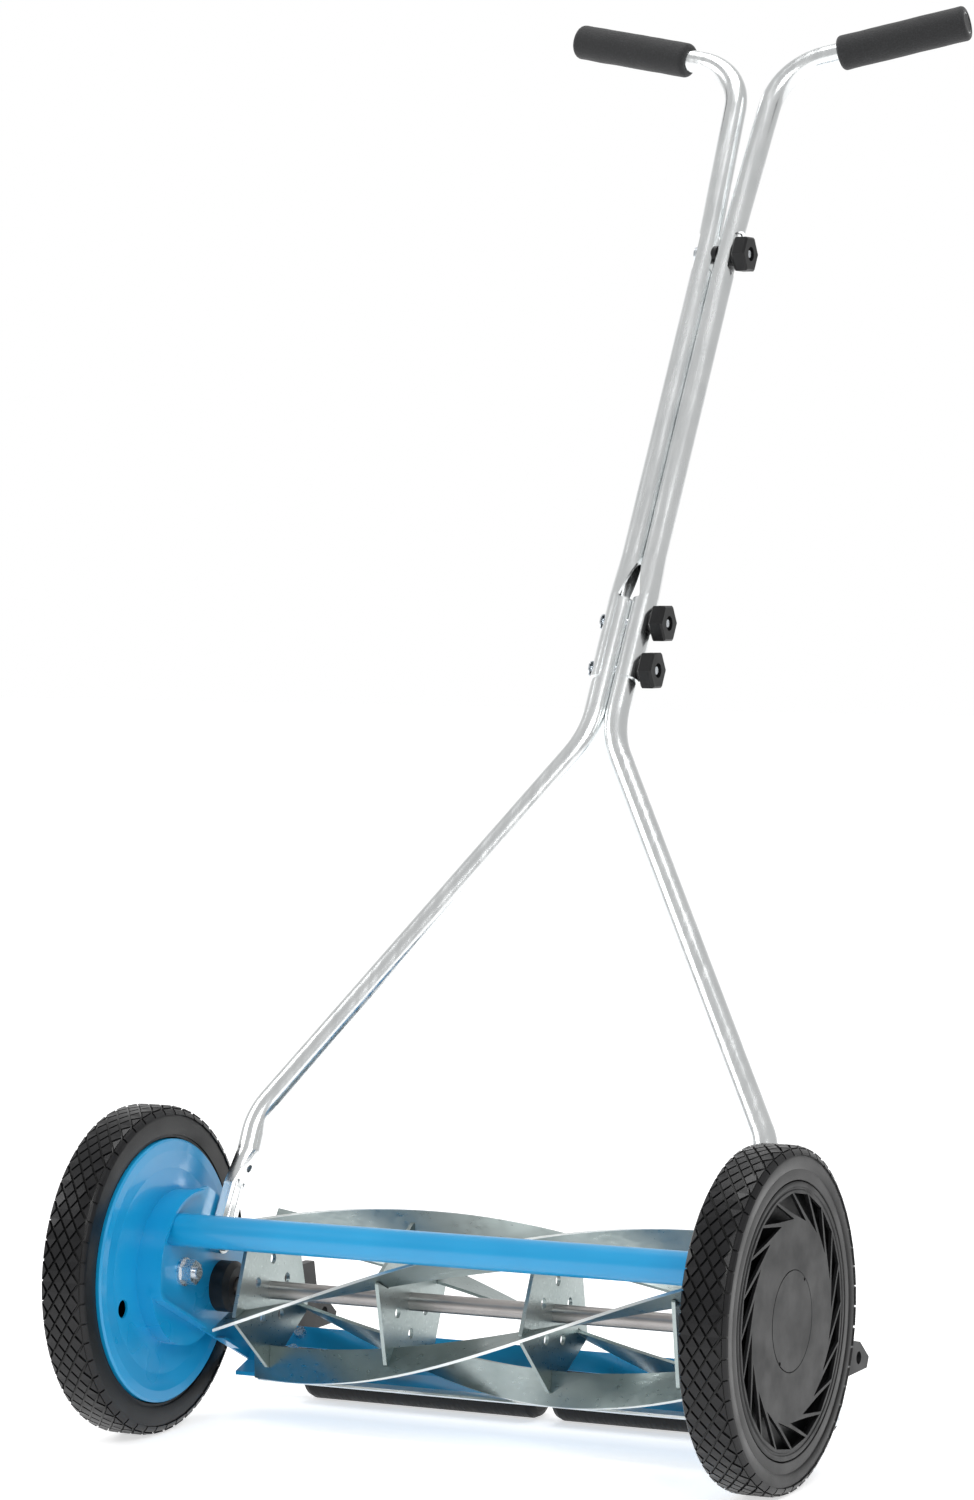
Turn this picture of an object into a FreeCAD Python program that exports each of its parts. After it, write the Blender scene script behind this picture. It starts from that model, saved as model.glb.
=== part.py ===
"""Reel lawn mower: two drive wheels, a five-blade reel, a bed knife, rear rollers and a folding handle.

Millimetres. X runs along the wheel axle, +Y points back towards the person mowing, +Z is up.
The origin is on the floor, midway between the wheels, straight under the wheel axle.
"""
import FreeCAD, Part
import Sketcher
import math
import os
from FreeCAD import Placement, Rotation, Vector

doc = FreeCAD.newDocument("ReelMower")
sheet = doc.addObject("Spreadsheet::Sheet", "Sizes")


class Size:
    """A length or an angle: its number, and the sheet formula that the model is bound to."""

    def __init__(self, value, formula):
        self.value = value
        self.formula = formula

    def _join(self, other, sign, value):
        return Size(value, f"({self.formula} {sign} {as_size(other).formula})")

    def __add__(self, other):
        return self._join(other, "+", self.value + as_size(other).value)

    def __sub__(self, other):
        return self._join(other, "-", self.value - as_size(other).value)

    def __mul__(self, other):
        return self._join(other, "*", self.value * as_size(other).value)

    def __truediv__(self, other):
        return self._join(other, "/", self.value / as_size(other).value)

    def __radd__(self, other):
        return as_size(other) + self

    def __rsub__(self, other):
        return as_size(other) - self

    def __rmul__(self, other):
        return as_size(other) * self

    def __neg__(self):
        return Size(-self.value, f"(0 - {self.formula})")


def as_size(thing):
    """A plain number as a Size."""
    if isinstance(thing, Size):
        return thing
    return Size(float(thing), repr(float(thing)))


def driving(alias, number):
    """Write one driving dimension in the sheet and hand it back as a Size."""
    row = len(driving.used) + 1
    driving.used.append(alias)
    sheet.set(f"A{row}", alias)
    sheet.set(f"B{row}", str(number))
    sheet.setAlias(f"B{row}", alias)
    return Size(float(number), f"<<Sizes>>.{alias}")


driving.used = []

# ---- driving dimensions ----
wheel_radius = driving("wheel_radius", 127.0)
tyre_width = driving("tyre_width", 36.5)
track_half = driving("track_half", 280.0)
rim_radius = driving("rim_radius", 105.0)
rim_wall = driving("rim_wall", 2.4)
cap_radius = driving("cap_radius", 101.2)
centre_cap_radius = driving("centre_cap_radius", 36.6)
hub_radius = driving("hub_radius", 16.0)
axle_radius = driving("axle_radius", 6.0)
axle_thread_radius = driving("axle_thread_radius", 5.0)
bushing_wall = driving("bushing_wall", 2.0)
running_gap = driving("running_gap", 0.05)
free_gap = driving("free_gap", 0.6)

gear_module = driving("gear_module", 2.0)
ring_teeth = driving("ring_teeth", 76)
pinion_teeth = driving("pinion_teeth", 14)
gear_width = driving("gear_width", 12.0)
tooth_thickness = driving("tooth_thickness", 2.3)
tooth_rise = driving("tooth_rise", 1.5)

reel_radius = driving("reel_radius", 70.0)
reel_half = driving("reel_half", 198.0)
reel_drop = driving("reel_drop", 19.7)
blade_count = driving("blade_count", 5)
blade_width = driving("blade_width", 27.0)
blade_thickness = driving("blade_thickness", 2.4)
blade_twist = driving("blade_twist", 38.25)
spider_pitch = driving("spider_pitch", 122.2)
spider_radius = driving("spider_radius", 60.0)
spider_thickness = driving("spider_thickness", 3.0)
shaft_radius = driving("shaft_radius", 7.0)
knife_gap = driving("knife_gap", 0.7)

dish_radius = driving("dish_radius", 101.5)
dish_face = driving("dish_face", 241.0)
dish_depth = driving("dish_depth", 8.0)
sheet_steel = driving("sheet_steel", 2.0)
boss_radius = driving("boss_radius", 60.0)
boss_back = driving("boss_back", 14.0)
boss_face = driving("boss_face", 230.0)
bracket_plate = driving("bracket_plate", 2.5)
bracket_lip = driving("bracket_lip", 9.0)

crossbar_radius = driving("crossbar_radius", 12.7)
crossbar_wall = driving("crossbar_wall", 1.5)
crossbar_back = driving("crossbar_back", -15.0)
crossbar_rise = driving("crossbar_rise", 35.0)

roller_radius = driving("roller_radius", 25.0)
roller_back = driving("roller_back", 182.0)
roller_end = driving("roller_end", 212.0)
roller_split = driving("roller_split", 8.0)
roller_rod_radius = driving("roller_rod_radius", 5.0)
arm_thickness = driving("arm_thickness", 8.0)

handle_lean = driving("handle_lean", 30.35)
pivot_back = driving("pivot_back", 47.1)
pivot_height = driving("pivot_height", 146.0)
tube_radius = driving("tube_radius", 9.525)
tube_wall = driving("tube_wall", 1.4)
leg_spread = driving("leg_spread", 216.5)
knee_reach = driving("knee_reach", 105.4)
neck_reach = driving("neck_reach", 448.6)
lower_top = driving("lower_top", 571.0)
trough_end = driving("trough_end", 498.0)
top_bolt_reach = driving("top_bolt_reach", 903.0)
corner_reach = driving("corner_reach", 1091.0)
corner_spread = driving("corner_spread", 17.5)
bar_end_spread = driving("bar_end_spread", 179.0)
bar_end_reach = driving("bar_end_reach", 1129.0)
grip_length = driving("grip_length", 113.0)
grip_radius = driving("grip_radius", 15.0)
knob_radius = driving("knob_radius", 16.3)
fastener_radius = driving("fastener_radius", 4.0)

# ---- places worked out from them ----
axle_height = wheel_radius
gear_centres = gear_module * (ring_teeth - pinion_teeth) / 2
reel_back = Size(
    math.sqrt(gear_centres.value**2 - reel_drop.value**2),
    f"sqrt({gear_centres.formula}^2 - {reel_drop.formula}^2)",
)
reel_height = axle_height - reel_drop
tyre_inner = track_half - tyre_width
boss_height = axle_height + 1.0
floor_plate = boss_face - bracket_plate
lip_face = floor_plate - bracket_lip + bracket_plate
gear_start = tyre_inner + 6.5
gear_end = gear_start + gear_width
hub_start = tyre_inner + 1.1
hub_end = track_half - 8.0
crossbar_height = axle_height + crossbar_rise
bushing_radius = axle_radius + running_gap + bushing_wall
arm_end = boss_face + arm_thickness


# ---- building blocks ----
def bind(thing, name, size):
    """Tie one property to the sheet."""
    thing.setExpression(name, as_size(size).formula)


def place(thing, x=0, y=0, z=0, turn=None):
    """Put a sub-part in its place, bound to the sheet."""
    rotation = turn if turn is not None else Rotation()
    spot = Vector(as_size(x).value, as_size(y).value, as_size(z).value)
    thing.Placement = Placement(spot, rotation)
    for axis, size in (("x", x), ("y", y), ("z", z)):
        if isinstance(size, Size):
            bind(thing, f".Placement.Base.{axis}", size)


ALONG_X = Rotation(Vector(0, 1, 0), 90)


def rod(name, radius, start, end, y=0, z=0):
    """A round bar along X."""
    bar = doc.addObject("Part::Cylinder", name)
    bind(bar, "Radius", radius)
    bind(bar, "Height", as_size(end) - start)
    place(bar, start, y, z, ALONG_X)
    return bar


def block(name, low, high):
    """A box between two corners."""
    box = doc.addObject("Part::Box", name)
    for side, a, b in zip(("Length", "Width", "Height"), low, high):
        bind(box, side, as_size(b) - a)
    place(box, *low)
    return box


def hexagon(name, across_flats, start, end, y=0, z=0):
    """A hexagonal bar along X."""
    bar = doc.addObject("Part::Prism", name)
    bar.Polygon = 6
    bind(bar, "Circumradius", as_size(across_flats) / math.sqrt(3))
    bind(bar, "Height", as_size(end) - start)
    place(bar, start, y, z, ALONG_X)
    return bar


def cut(name, base, tool):
    """The base less the tool."""
    result = doc.addObject("Part::Cut", name)
    result.Base = base
    result.Tool = tool
    return result


def joined(name, pieces):
    """Several shapes that are one solid."""
    result = doc.addObject("Part::MultiFuse", name)
    result.Shapes = pieces
    result.Refine = True
    return result


def group(name, pieces):
    """Separate solids of the same kind under one name."""
    result = doc.addObject("Part::Compound", name)
    result.Links = pieces
    return result


def mirrored(name, source):
    """The same piece on the other side of the mower."""
    result = doc.addObject("Part::Mirroring", name)
    result.Source = source
    result.Normal = Vector(1, 0, 0)
    return result


def origin_plane(body, role):
    """One of the body's own planes or axes."""
    return next(item for item in body.Origin.OriginFeatures if item.Role == role)


def outline(body, name, role, points, circles=(), offset=0):
    """A closed sketch: corner points, then circles (across, up, radius), each size bound."""
    sketch = body.newObject("Sketcher::SketchObject", name)
    sketch.AttachmentSupport = (origin_plane(body, role), [""])
    sketch.MapMode = "FlatFace"
    sketch.AttachmentOffset = Placement(Vector(0, 0, as_size(offset).value), Rotation())
    bind(sketch, "AttachmentOffset.Base.z", offset)
    rules = []
    formulas = []

    def rule(kind, geometry, spot, size):
        rules.append(Sketcher.Constraint(kind, -1, 1, geometry, spot, as_size(size).value))
        formulas.append((len(rules) - 1, as_size(size)))

    corners = [(as_size(a), as_size(b)) for a, b in points]
    count = len(corners)
    for index in range(count):
        a, b = corners[index], corners[(index + 1) % count]
        start = Vector(a[0].value, a[1].value, 0)
        end = Vector(b[0].value, b[1].value, 0)
        sketch.addGeometry(Part.LineSegment(start, end), False)
    for index in range(count):
        rules.append(Sketcher.Constraint("Coincident", index, 2, (index + 1) % count, 1))
    for index, (across, up) in enumerate(corners):
        rule("DistanceX", index, 1, across)
        rule("DistanceY", index, 1, up)
    for step, (across, up, radius) in enumerate(circles):
        middle = Vector(as_size(across).value, as_size(up).value, 0)
        sketch.addGeometry(Part.Circle(middle, Vector(0, 0, 1), as_size(radius).value), False)
        rule("DistanceX", count + step, 3, across)
        rule("DistanceY", count + step, 3, up)
        rules.append(Sketcher.Constraint("Radius", count + step, as_size(radius).value))
        formulas.append((len(rules) - 1, as_size(radius)))
    sketch.addConstraint(rules)
    for index, size in formulas:
        if "<<" in size.formula:
            sketch.renameConstraint(index, f"size{index}")
            bind(sketch, f"Constraints.size{index}", size)
    return sketch


def new_body(name):
    return doc.addObject("PartDesign::Body", name)


def turned(name, profile, y=0, z=0):
    """A turned piece: its (along X, radius) profile spun about an axis along X."""
    body = new_body(name)
    sketch = outline(body, f"{name}_profile", "XY_Plane", profile)
    spin = body.newObject("PartDesign::Revolution", f"{name}_turning")
    spin.Profile = sketch
    spin.ReferenceAxis = (sketch, ["H_Axis"])
    spin.Angle = 360
    body.Tip = spin
    place(body, 0, y, z)
    return body


def pad(body, name, points, start, thickness, circles=()):
    """Add a plate: a (Y, Z) outline made thicker along +X."""
    sketch = outline(body, f"{name}_outline", "YZ_Plane", points, circles, start)
    plate = body.newObject("PartDesign::Pad", name)
    plate.Profile = sketch
    bind(plate, "Length", thickness)
    body.Tip = plate
    return plate


def pocket(body, name, points, start, depth, circles=()):
    """Cut a (Y, Z) outline out of the body, from start towards +X."""
    doc.recompute()
    before = body.Shape.Volume
    sketch = outline(body, f"{name}_outline", "YZ_Plane", points, circles, start)
    hollow = body.newObject("PartDesign::Pocket", name)
    hollow.Profile = sketch
    hollow.Reversed = True
    bind(hollow, "Length", depth)
    body.Tip = hollow
    doc.recompute()
    assert body.Shape.Volume < before, name
    return hollow


def round_corners(body, name, corners, radius):
    """Round the plate's corners, found by their (Y, Z) places."""
    doc.recompute()
    feature = body.Tip
    found = []
    for number, edge in enumerate(feature.Shape.Edges, 1):
        ends = [vertex.Point for vertex in edge.Vertexes]
        if len(ends) != 2 or abs(ends[0].x - ends[1].x) < 0.5:
            continue
        for y, z in corners:
            spot = Vector(ends[0].x, as_size(y).value, as_size(z).value)
            if ends[0].distanceToPoint(spot) < 0.01 and abs(ends[1].y - spot.y) < 0.01:
                found.append(f"Edge{number}")
    fillet = body.newObject("PartDesign::Fillet", name)
    fillet.Base = (feature, found)
    bind(fillet, "Radius", radius)
    body.Tip = fillet
    doc.recompute()
    return fillet


def plain_piece(name, shape, placement=None):
    """A piece whose shape follows a formula."""
    piece = doc.addObject("Part::Feature", name)
    piece.Shape = shape
    if placement is not None:
        piece.Placement = placement
    return piece


pieces = {}


def keep(label, piece):
    """Name a finished sub-part."""
    piece.Label = label
    pieces[label] = piece
    return piece


def keep_pair(name, right):
    """Keep the right-hand piece and its mirror image on the left."""
    keep(f"{name}_right", right)
    keep(f"{name}_left", mirrored(f"{name}_mirror", right))


# ---- wheels ----
def make_tyre():
    """Rubber tyre with rounded shoulders and a bead lip over the rim's outer edge."""
    shoulder = 7.0
    outer = track_half
    lip = cap_radius + 0.4
    profile = [
        (tyre_inner + shoulder, wheel_radius),
        (tyre_inner + 2.0, wheel_radius - 3.0),
        (tyre_inner, wheel_radius - shoulder),
        (tyre_inner, rim_radius),
        (outer - 2.8, rim_radius),
        (outer - 2.8, lip),
        (outer, lip),
        (outer, wheel_radius - shoulder),
        (outer - 2.0, wheel_radius - 3.0),
        (outer - shoulder, wheel_radius),
    ]
    return turned("tyre", profile, 0, axle_height)


def gear_outline(teeth, root, tip, root_half, pitch_half, tip_half, pitch, turn):
    """The closed outline of a gear with straight-sided teeth, in the (Y, Z) plane."""
    points = []
    for tooth in range(int(teeth)):
        middle = turn + 2 * math.pi * tooth / teeth
        for radius, half in (
            (root, -root_half),
            (pitch, -pitch_half),
            (tip, -tip_half),
            (tip, tip_half),
            (pitch, pitch_half),
            (root, root_half),
        ):
            angle = middle + half / radius
            points.append(Vector(0, radius * math.cos(angle), radius * math.sin(angle)))
    points.append(points[0])
    return Part.Face(Part.makePolygon(points))


TIP_HALF = 0.65
ROOT_HALF = 1.65
mesh_angle = math.atan2(-reel_drop.value, reel_back.value)


def make_wheel():
    """Moulded drive wheel: rim, web, hub and the internal ring gear."""
    inner = rim_radius - rim_wall
    web = gear_end + 3.0
    profile = [
        (hub_start, bushing_radius),
        (hub_end, bushing_radius),
        (hub_end, hub_radius),
        (web + 3.0, hub_radius),
        (web + 3.0, inner),
        (track_half - 3.0, inner),
        (track_half - 3.0, rim_radius),
        (hub_start, rim_radius),
        (hub_start, inner),
        (web, inner),
        (web, hub_radius),
        (hub_start, hub_radius),
    ]
    body = turned("wheel_body", profile, 0, axle_height)
    pitch = gear_module.value * ring_teeth.value / 2
    half_step = math.pi / ring_teeth.value
    hole = gear_outline(
        ring_teeth.value,
        pitch + tooth_rise.value + 0.6,
        pitch - tooth_rise.value,
        ROOT_HALF,
        tooth_thickness.value / 2,
        TIP_HALF,
        pitch,
        mesh_angle + half_step,
    )
    width = (web - gear_start).value
    rim = Part.makeCylinder(pitch + 7, width, Vector(0, 0, 0), Vector(1, 0, 0))
    ring = rim.cut(hole.extrude(Vector(width, 0, 0)))
    spot = Vector(gear_start.value, 0, axle_height.value)
    gear = plain_piece("ring_gear_teeth", ring, Placement(spot, Rotation()))
    return joined("drive_wheel", [body, gear])


def make_hubcap():
    """Outer wheel cover with slanted vents round a flat disc."""
    face = track_half - 0.5
    back = face - 2.5
    body = new_body("hubcap_body")
    middle = [(0, 0, cap_radius), (0, 0, 8.0)]
    pad(body, "hubcap_disc", [], back, 2.5, middle)
    pad(body, "hubcap_skirt", [], back - 4.0, 4.0, [(0, 0, cap_radius), (0, 0, cap_radius - 2.0)])
    vents = 20
    step = 2 * math.pi / vents
    corners = []
    for radius, lead in ((93.0, 0.02), (93.0, 0.88), (72.0, -0.72)):
        corners.append((radius * math.cos(lead * step), radius * math.sin(lead * step)))
    hollow = pocket(body, "hubcap_vent", corners, back - 1.0, 4.5)
    pattern = body.newObject("PartDesign::PolarPattern", "hubcap_vents")
    pattern.Originals = [hollow]
    pattern.Axis = (origin_plane(body, "X_Axis"), [""])
    pattern.Angle = 360
    pattern.Occurrences = vents
    body.Tip = pattern
    pocket(body, "cap_seat", [], face - 1.2, 2.0, [(0, 0, centre_cap_radius + 0.15)])
    place(body, 0, 0, axle_height)
    return body


def make_centre_cap():
    """Small snap-in disc in the middle of the cover, with two pry notches."""
    face = track_half - 0.5
    body = new_body("centre_cap_body")
    pad(body, "centre_disc", [], face - 1.2, 1.2, [(0, 0, centre_cap_radius)])
    pad(body, "centre_plug", [], face - 3.7, 2.5, [(0, 0, 7.8), (0, 0, 6.3)])
    for side, name in ((1, "upper_notch"), (-1, "lower_notch")):
        angle = math.radians(50)
        reach = (centre_cap_radius - 0.6) * side
        spot = (reach * math.cos(angle), reach * math.sin(angle), 1.6)
        pocket(body, name, [], face - 2.0, 3.0, [spot])
    place(body, 0, 0, axle_height)
    return body


def make_wheels():
    keep_pair("tyre", make_tyre())
    keep_pair("drive_wheel", make_wheel())
    keep_pair("hubcap", make_hubcap())
    keep_pair("centre_cap", make_centre_cap())
    bushing = turned(
        "bushing",
        [
            (hub_start, axle_radius + running_gap),
            (hub_end, axle_radius + running_gap),
            (hub_end, bushing_radius),
            (hub_start, bushing_radius),
        ],
        0,
        axle_height,
    )
    keep_pair("wheel_bushing", bushing)


# ---- axle studs and their fasteners ----
def make_axle_stud():
    """Stepped stud: thread through the side plates, a shoulder, and the journal for the wheel."""
    shoulder_start = boss_face + sheet_steel
    profile = [
        (floor_plate - 14.0, 0),
        (track_half - 5.0, 0),
        (track_half - 5.0, axle_radius),
        (hub_start - free_gap, axle_radius),
        (hub_start - free_gap, axle_radius * 2),
        (shoulder_start, axle_radius * 2),
        (shoulder_start, axle_thread_radius),
        (floor_plate - 14.0, axle_thread_radius),
    ]
    return turned("stud", profile, 0, axle_height)


def make_axle_fasteners():
    keep_pair("axle_stud", make_axle_stud())
    washer = cut(
        "washer_right",
        rod("washer_disc", 11.0, floor_plate - 2.0, floor_plate, 0, axle_height),
        rod("washer_bore", axle_thread_radius, floor_plate - 3.0, floor_plate + 1.0, 0, axle_height),
    )
    keep("axle_washers", group("washers", [washer, mirrored("washer_left", washer)]))
    nut = cut(
        "nut_right",
        hexagon("nut_hexagon", 17.0, floor_plate - 11.0, floor_plate - 2.0, 0, axle_height),
        rod("nut_bore", axle_thread_radius, floor_plate - 12.0, floor_plate, 0, axle_height),
    )
    keep("axle_nuts", group("nuts", [nut, mirrored("nut_left", nut)]))


# ---- side plates ----
BEARING_HOLE = 8.4


def make_side_plate():
    """Dished cover that closes the wheel, with a raised boss that carries the bracket."""
    lip_end = dish_face + dish_depth
    inner = dish_radius - sheet_steel
    back = dish_face + sheet_steel
    profile = [
        (dish_face, dish_radius - 1.5),
        (dish_face + 1.5, dish_radius),
        (lip_end, dish_radius),
        (lip_end, inner),
        (back, inner),
        (back + 1.5, dish_radius - 22.0),
        (back + 1.5, 0),
        (dish_face + 1.5, 0),
        (dish_face + 1.5, dish_radius - 22.0),
        (dish_face, dish_radius - 9.0),
    ]
    body = new_body("dish")
    sketch = outline(body, "dish_profile", "XY_Plane", profile)
    spin = body.newObject("PartDesign::Revolution", "dish_turning")
    spin.Profile = sketch
    spin.ReferenceAxis = (sketch, ["H_Axis"])
    spin.Angle = 360
    body.Tip = spin
    rise = boss_height - axle_height
    depth = dish_face - boss_face + 2.0
    pad(body, "boss", [], boss_face, depth, [(boss_back, rise, boss_radius)])
    pocket(
        body,
        "boss_hollow",
        [],
        boss_face + sheet_steel,
        dish_face - boss_face + 4.0,
        [(boss_back, rise, boss_radius - sheet_steel)],
    )
    reel_hole = (reel_back, reel_height - axle_height, BEARING_HOLE)
    pocket(body, "shaft_hole", [], boss_face - 1.0, 20.0, [reel_hole])
    pocket(body, "stud_hole", [], boss_face - 1.0, 20.0, [(0, 0, axle_thread_radius)])
    crossbar_hole = (crossbar_back, crossbar_rise, fastener_radius)
    pocket(body, "crossbar_hole", [], boss_face - 1.0, 20.0, [crossbar_hole])
    pocket(body, "sight_hole", [], dish_face - 1.0, 6.0, [(-66.0, -20.0, 7.0)])
    place(body, 0, 0, axle_height)
    return body


def bracket_points():
    """Corners of the reel bracket: front arch, rear ear for the roller arm, low toe."""
    front = boss_back - boss_radius
    top = boss_height + boss_radius
    return {
        "front_top": (front, top),
        "front_low": (front, boss_height - 15.0),
        "toe_front": (106.0, 41.0),
        "toe_back": (122.0, 41.0),
        "ear_low": (142.0, 64.0),
        "ear_high": (142.0, 98.0),
        "back_low": (84.0, 138.0),
        "back_high": (66.0, 172.0),
        "top_back": (40.0, top),
    }


def inset(points, distance):
    """The same corners moved inwards by a distance, for a convex outline."""
    spots = [(as_size(a).value, as_size(b).value) for a, b in points]
    count = len(spots)
    result = []
    for index in range(count):
        before, here, after = spots[index - 1], spots[index], spots[(index + 1) % count]
        first = unit(here[0] - before[0], here[1] - before[1])
        second = unit(after[0] - here[0], after[1] - here[1])
        cross = first[0] * second[1] - first[1] * second[0]
        across = (second[0] - first[0]) * distance / cross
        up = (second[1] - first[1]) * distance / cross
        result.append((points[index][0] + across, points[index][1] + up))
    return result


def unit(a, b):
    length = math.hypot(a, b)
    return a / length, b / length


def bracket_blank(name, corners, start, thickness, arch, toe):
    """A plate of the bracket's outline with its front arch and front toe rounded."""
    body = new_body(name)
    pad(body, f"{name}_plate", corners, start, thickness)
    round_corners(body, f"{name}_arch", [corners[0]], arch)
    round_corners(body, f"{name}_toe", [corners[1]], toe)
    return body


def make_reel_bracket():
    """Pressed bracket: it holds the axle, the reel bearing, the crossbar, the handle and the arms."""
    corners = bracket_points()
    order = list(corners.values())
    toe = 14.0
    floor = bracket_blank("bracket_floor", order, floor_plate, bracket_plate, boss_radius, toe)
    small = [corners[key] for key in ("toe_front", "toe_back", "ear_low", "ear_high", "top_back")]
    round_corners(floor, "small_corners", small, 8.0)
    round_corners(floor, "back_corner", [corners["back_high"]], 12.0)
    lip_height = bracket_lip - bracket_plate
    outer = bracket_blank("lip_outer", order, lip_face, lip_height, boss_radius, toe)
    inner_order = inset(order, bracket_plate.value)
    inner_arch = boss_radius - bracket_plate
    inner_toe = toe - bracket_plate
    inner = bracket_blank("lip_inner", inner_order, lip_face - 1.0, lip_height + 2.0, inner_arch, inner_toe)
    high_side = block(
        "lip_open_high",
        (lip_face - 5.0, boss_back + 10.0, boss_height - 60.0),
        (lip_face + 20.0, 200.0, boss_height + 80.0),
    )
    ear_side = block(
        "lip_open_ear",
        (lip_face - 5.0, boss_back + 61.0, 0.0),
        (lip_face + 20.0, 200.0, boss_height),
    )
    away = group("lip_open_sides", [high_side, ear_side])
    lip = cut("lip_cut", cut("lip_wall", outer, inner), away)
    whole = joined("bracket_shell", [floor, lip])
    tools = [
        rod("bore_stud", axle_thread_radius, floor_plate - 5, boss_face + 5, 0, axle_height),
        rod("bore_shaft", BEARING_HOLE, floor_plate - 5, boss_face + 5, reel_back, reel_height),
        rod("bore_bar", fastener_radius, floor_plate - 5, boss_face + 5, crossbar_back, crossbar_height),
        rod("bore_handle", fastener_radius + 1, floor_plate - 5, boss_face + 5, pivot_back, pivot_height),
        rod("bore_sight", 4.0, floor_plate - 5, boss_face + 5, 24.0, axle_height + 24.0),
    ]
    for number, (y, z) in enumerate(bracket_bolt_spots()):
        tools.append(rod(f"bore_bolt_{number}", fastener_radius, floor_plate - 5, boss_face + 5, y, z))
    drill = group("bracket_drills", tools)
    return cut("bracket_drilled", whole, drill)


def bracket_bolt_spots():
    """Centres of the bolts through the rear ear and the toe."""
    return [(120.0, 98.0), (133.0, 83.0), (112.0, 50.0)]


def make_side_frames():
    keep_pair("side_plate", make_side_plate())
    keep_pair("reel_bracket", make_reel_bracket())


# ---- crossbar ----
def make_crossbar():
    """Tube between the brackets, closed at the ends, with a hole for each end bolt."""
    inner = crossbar_radius - crossbar_wall
    end = floor_plate
    profile = [
        (-end, fastener_radius),
        (-end, crossbar_radius),
        (end, crossbar_radius),
        (end, fastener_radius),
        (end - 5.0, fastener_radius),
        (end - 5.0, inner),
        (5.0 - end, inner),
        (5.0 - end, fastener_radius),
    ]
    keep("crossbar", turned("bar", profile, crossbar_back, crossbar_height))


def hex_bolt(name, head_start, head_end, tip, y, z):
    """A hexagon-headed bolt along X."""
    head = hexagon(f"{name}_head", 13.0, head_start, head_end, y, z)
    middle = as_size(head_start) + (as_size(head_end) - head_start) / 2
    low, high = (middle, tip) if as_size(tip).value > middle.value else (tip, middle)
    shank = rod(f"{name}_shank", fastener_radius, low, high, y, z)
    return joined(name, [head, shank])


def make_frame_bolts():
    """Bolts that hold the crossbar, the roller arms and the cutter bar to the brackets."""
    bolts = []
    inside = boss_face + sheet_steel
    shank_end = floor_plate - 12.0
    bolts.append(hex_bolt("bar_bolt", inside, inside + 5.0, shank_end, crossbar_back, crossbar_height))
    ear = bracket_bolt_spots()
    for number, (y, z) in enumerate(ear[:2]):
        bolts.append(hex_bolt(f"ear_bolt_{number}", floor_plate - 5.0, floor_plate, arm_end, y, z))
    y, z = ear[2]
    bolts.append(hex_bolt("toe_bolt", boss_face, boss_face + 5.0, floor_plate - 10.0, y, z))
    left = [mirrored(f"{bolt.Name}_left", bolt) for bolt in bolts]
    keep("frame_bolts", group("bolts", bolts + left))


# ---- reel ----
def blade_angle(x, number):
    """Where a blade stands round the reel, in degrees from straight back."""
    middle_spider = -132.0 - blade_twist.value * (x + spider_pitch.value / 2) / spider_pitch.value
    return middle_spider + 360.0 * number / blade_count.value


def make_blade(number):
    """One helical blade: a flat strip on edge, twisted round the reel shaft."""
    stations = 15
    inner = (reel_radius - blade_width).value
    half = blade_thickness.value / 2
    wires = []
    for station in range(stations):
        x = reel_half.value * (2 * station / (stations - 1) - 1)
        angle = math.radians(blade_angle(x, number))
        out = Vector(0, math.cos(angle), math.sin(angle))
        side = Vector(0, -math.sin(angle), math.cos(angle))
        corners = []
        for radius, way in ((inner, -1), (reel_radius.value, -1), (reel_radius.value, 1), (inner, 1)):
            corners.append(Vector(x, 0, 0) + out * radius + side * (way * half))
        corners.append(corners[0])
        wires.append(Part.makePolygon(corners))
    shape = Part.makeLoft(wires, True, False)
    spot = Vector(0, reel_back.value, reel_height.value)
    return plain_piece(f"blade_strip_{number + 1}", shape, Placement(spot, Rotation()))


def make_spider(number):
    """Five-cornered pressed plate with a slot for each blade and five lightening holes."""
    count = int(blade_count.value)
    step = 2 * math.pi / count
    x = spider_pitch * (number - 1.5)
    turn = blade_angle(x.value, 0)
    body = new_body(f"spider_plate_{number + 1}")
    name = f"spider{number + 1}"
    blunt = math.radians(3.2)
    corners = []
    for corner in range(count):
        for side in (-blunt, blunt):
            angle = corner * step + side
            corners.append((spider_radius * math.cos(angle), spider_radius * math.sin(angle)))
    eye = [(0, 0, shaft_radius)]
    plate = pad(body, f"{name}_plate", corners, -spider_thickness / 2, spider_thickness, eye)
    slot_half = blade_thickness / 2 + 0.6
    slot_in = reel_radius - blade_width - 0.5
    slot = [
        (slot_in, -slot_half),
        (spider_radius + 5.0, -slot_half),
        (spider_radius + 5.0, slot_half),
        (slot_in, slot_half),
    ]
    first = pocket(body, f"{name}_slot", slot, -spider_thickness, spider_thickness * 2)
    hole_at = 24.5
    hole = (hole_at * math.cos(step / 2), hole_at * math.sin(step / 2), 4.2)
    second = pocket(body, f"{name}_hole", [], -spider_thickness, spider_thickness * 2, [hole])
    for feature, label in ((first, "slots"), (second, "holes")):
        pattern = body.newObject("PartDesign::PolarPattern", f"{name}_{label}")
        pattern.Originals = [feature]
        pattern.Axis = (origin_plane(body, "X_Axis"), [""])
        pattern.Angle = 360
        pattern.Occurrences = count
        body.Tip = pattern
    place(body, x, reel_back, reel_height, Rotation(Vector(1, 0, 0), turn))
    return body


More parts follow.
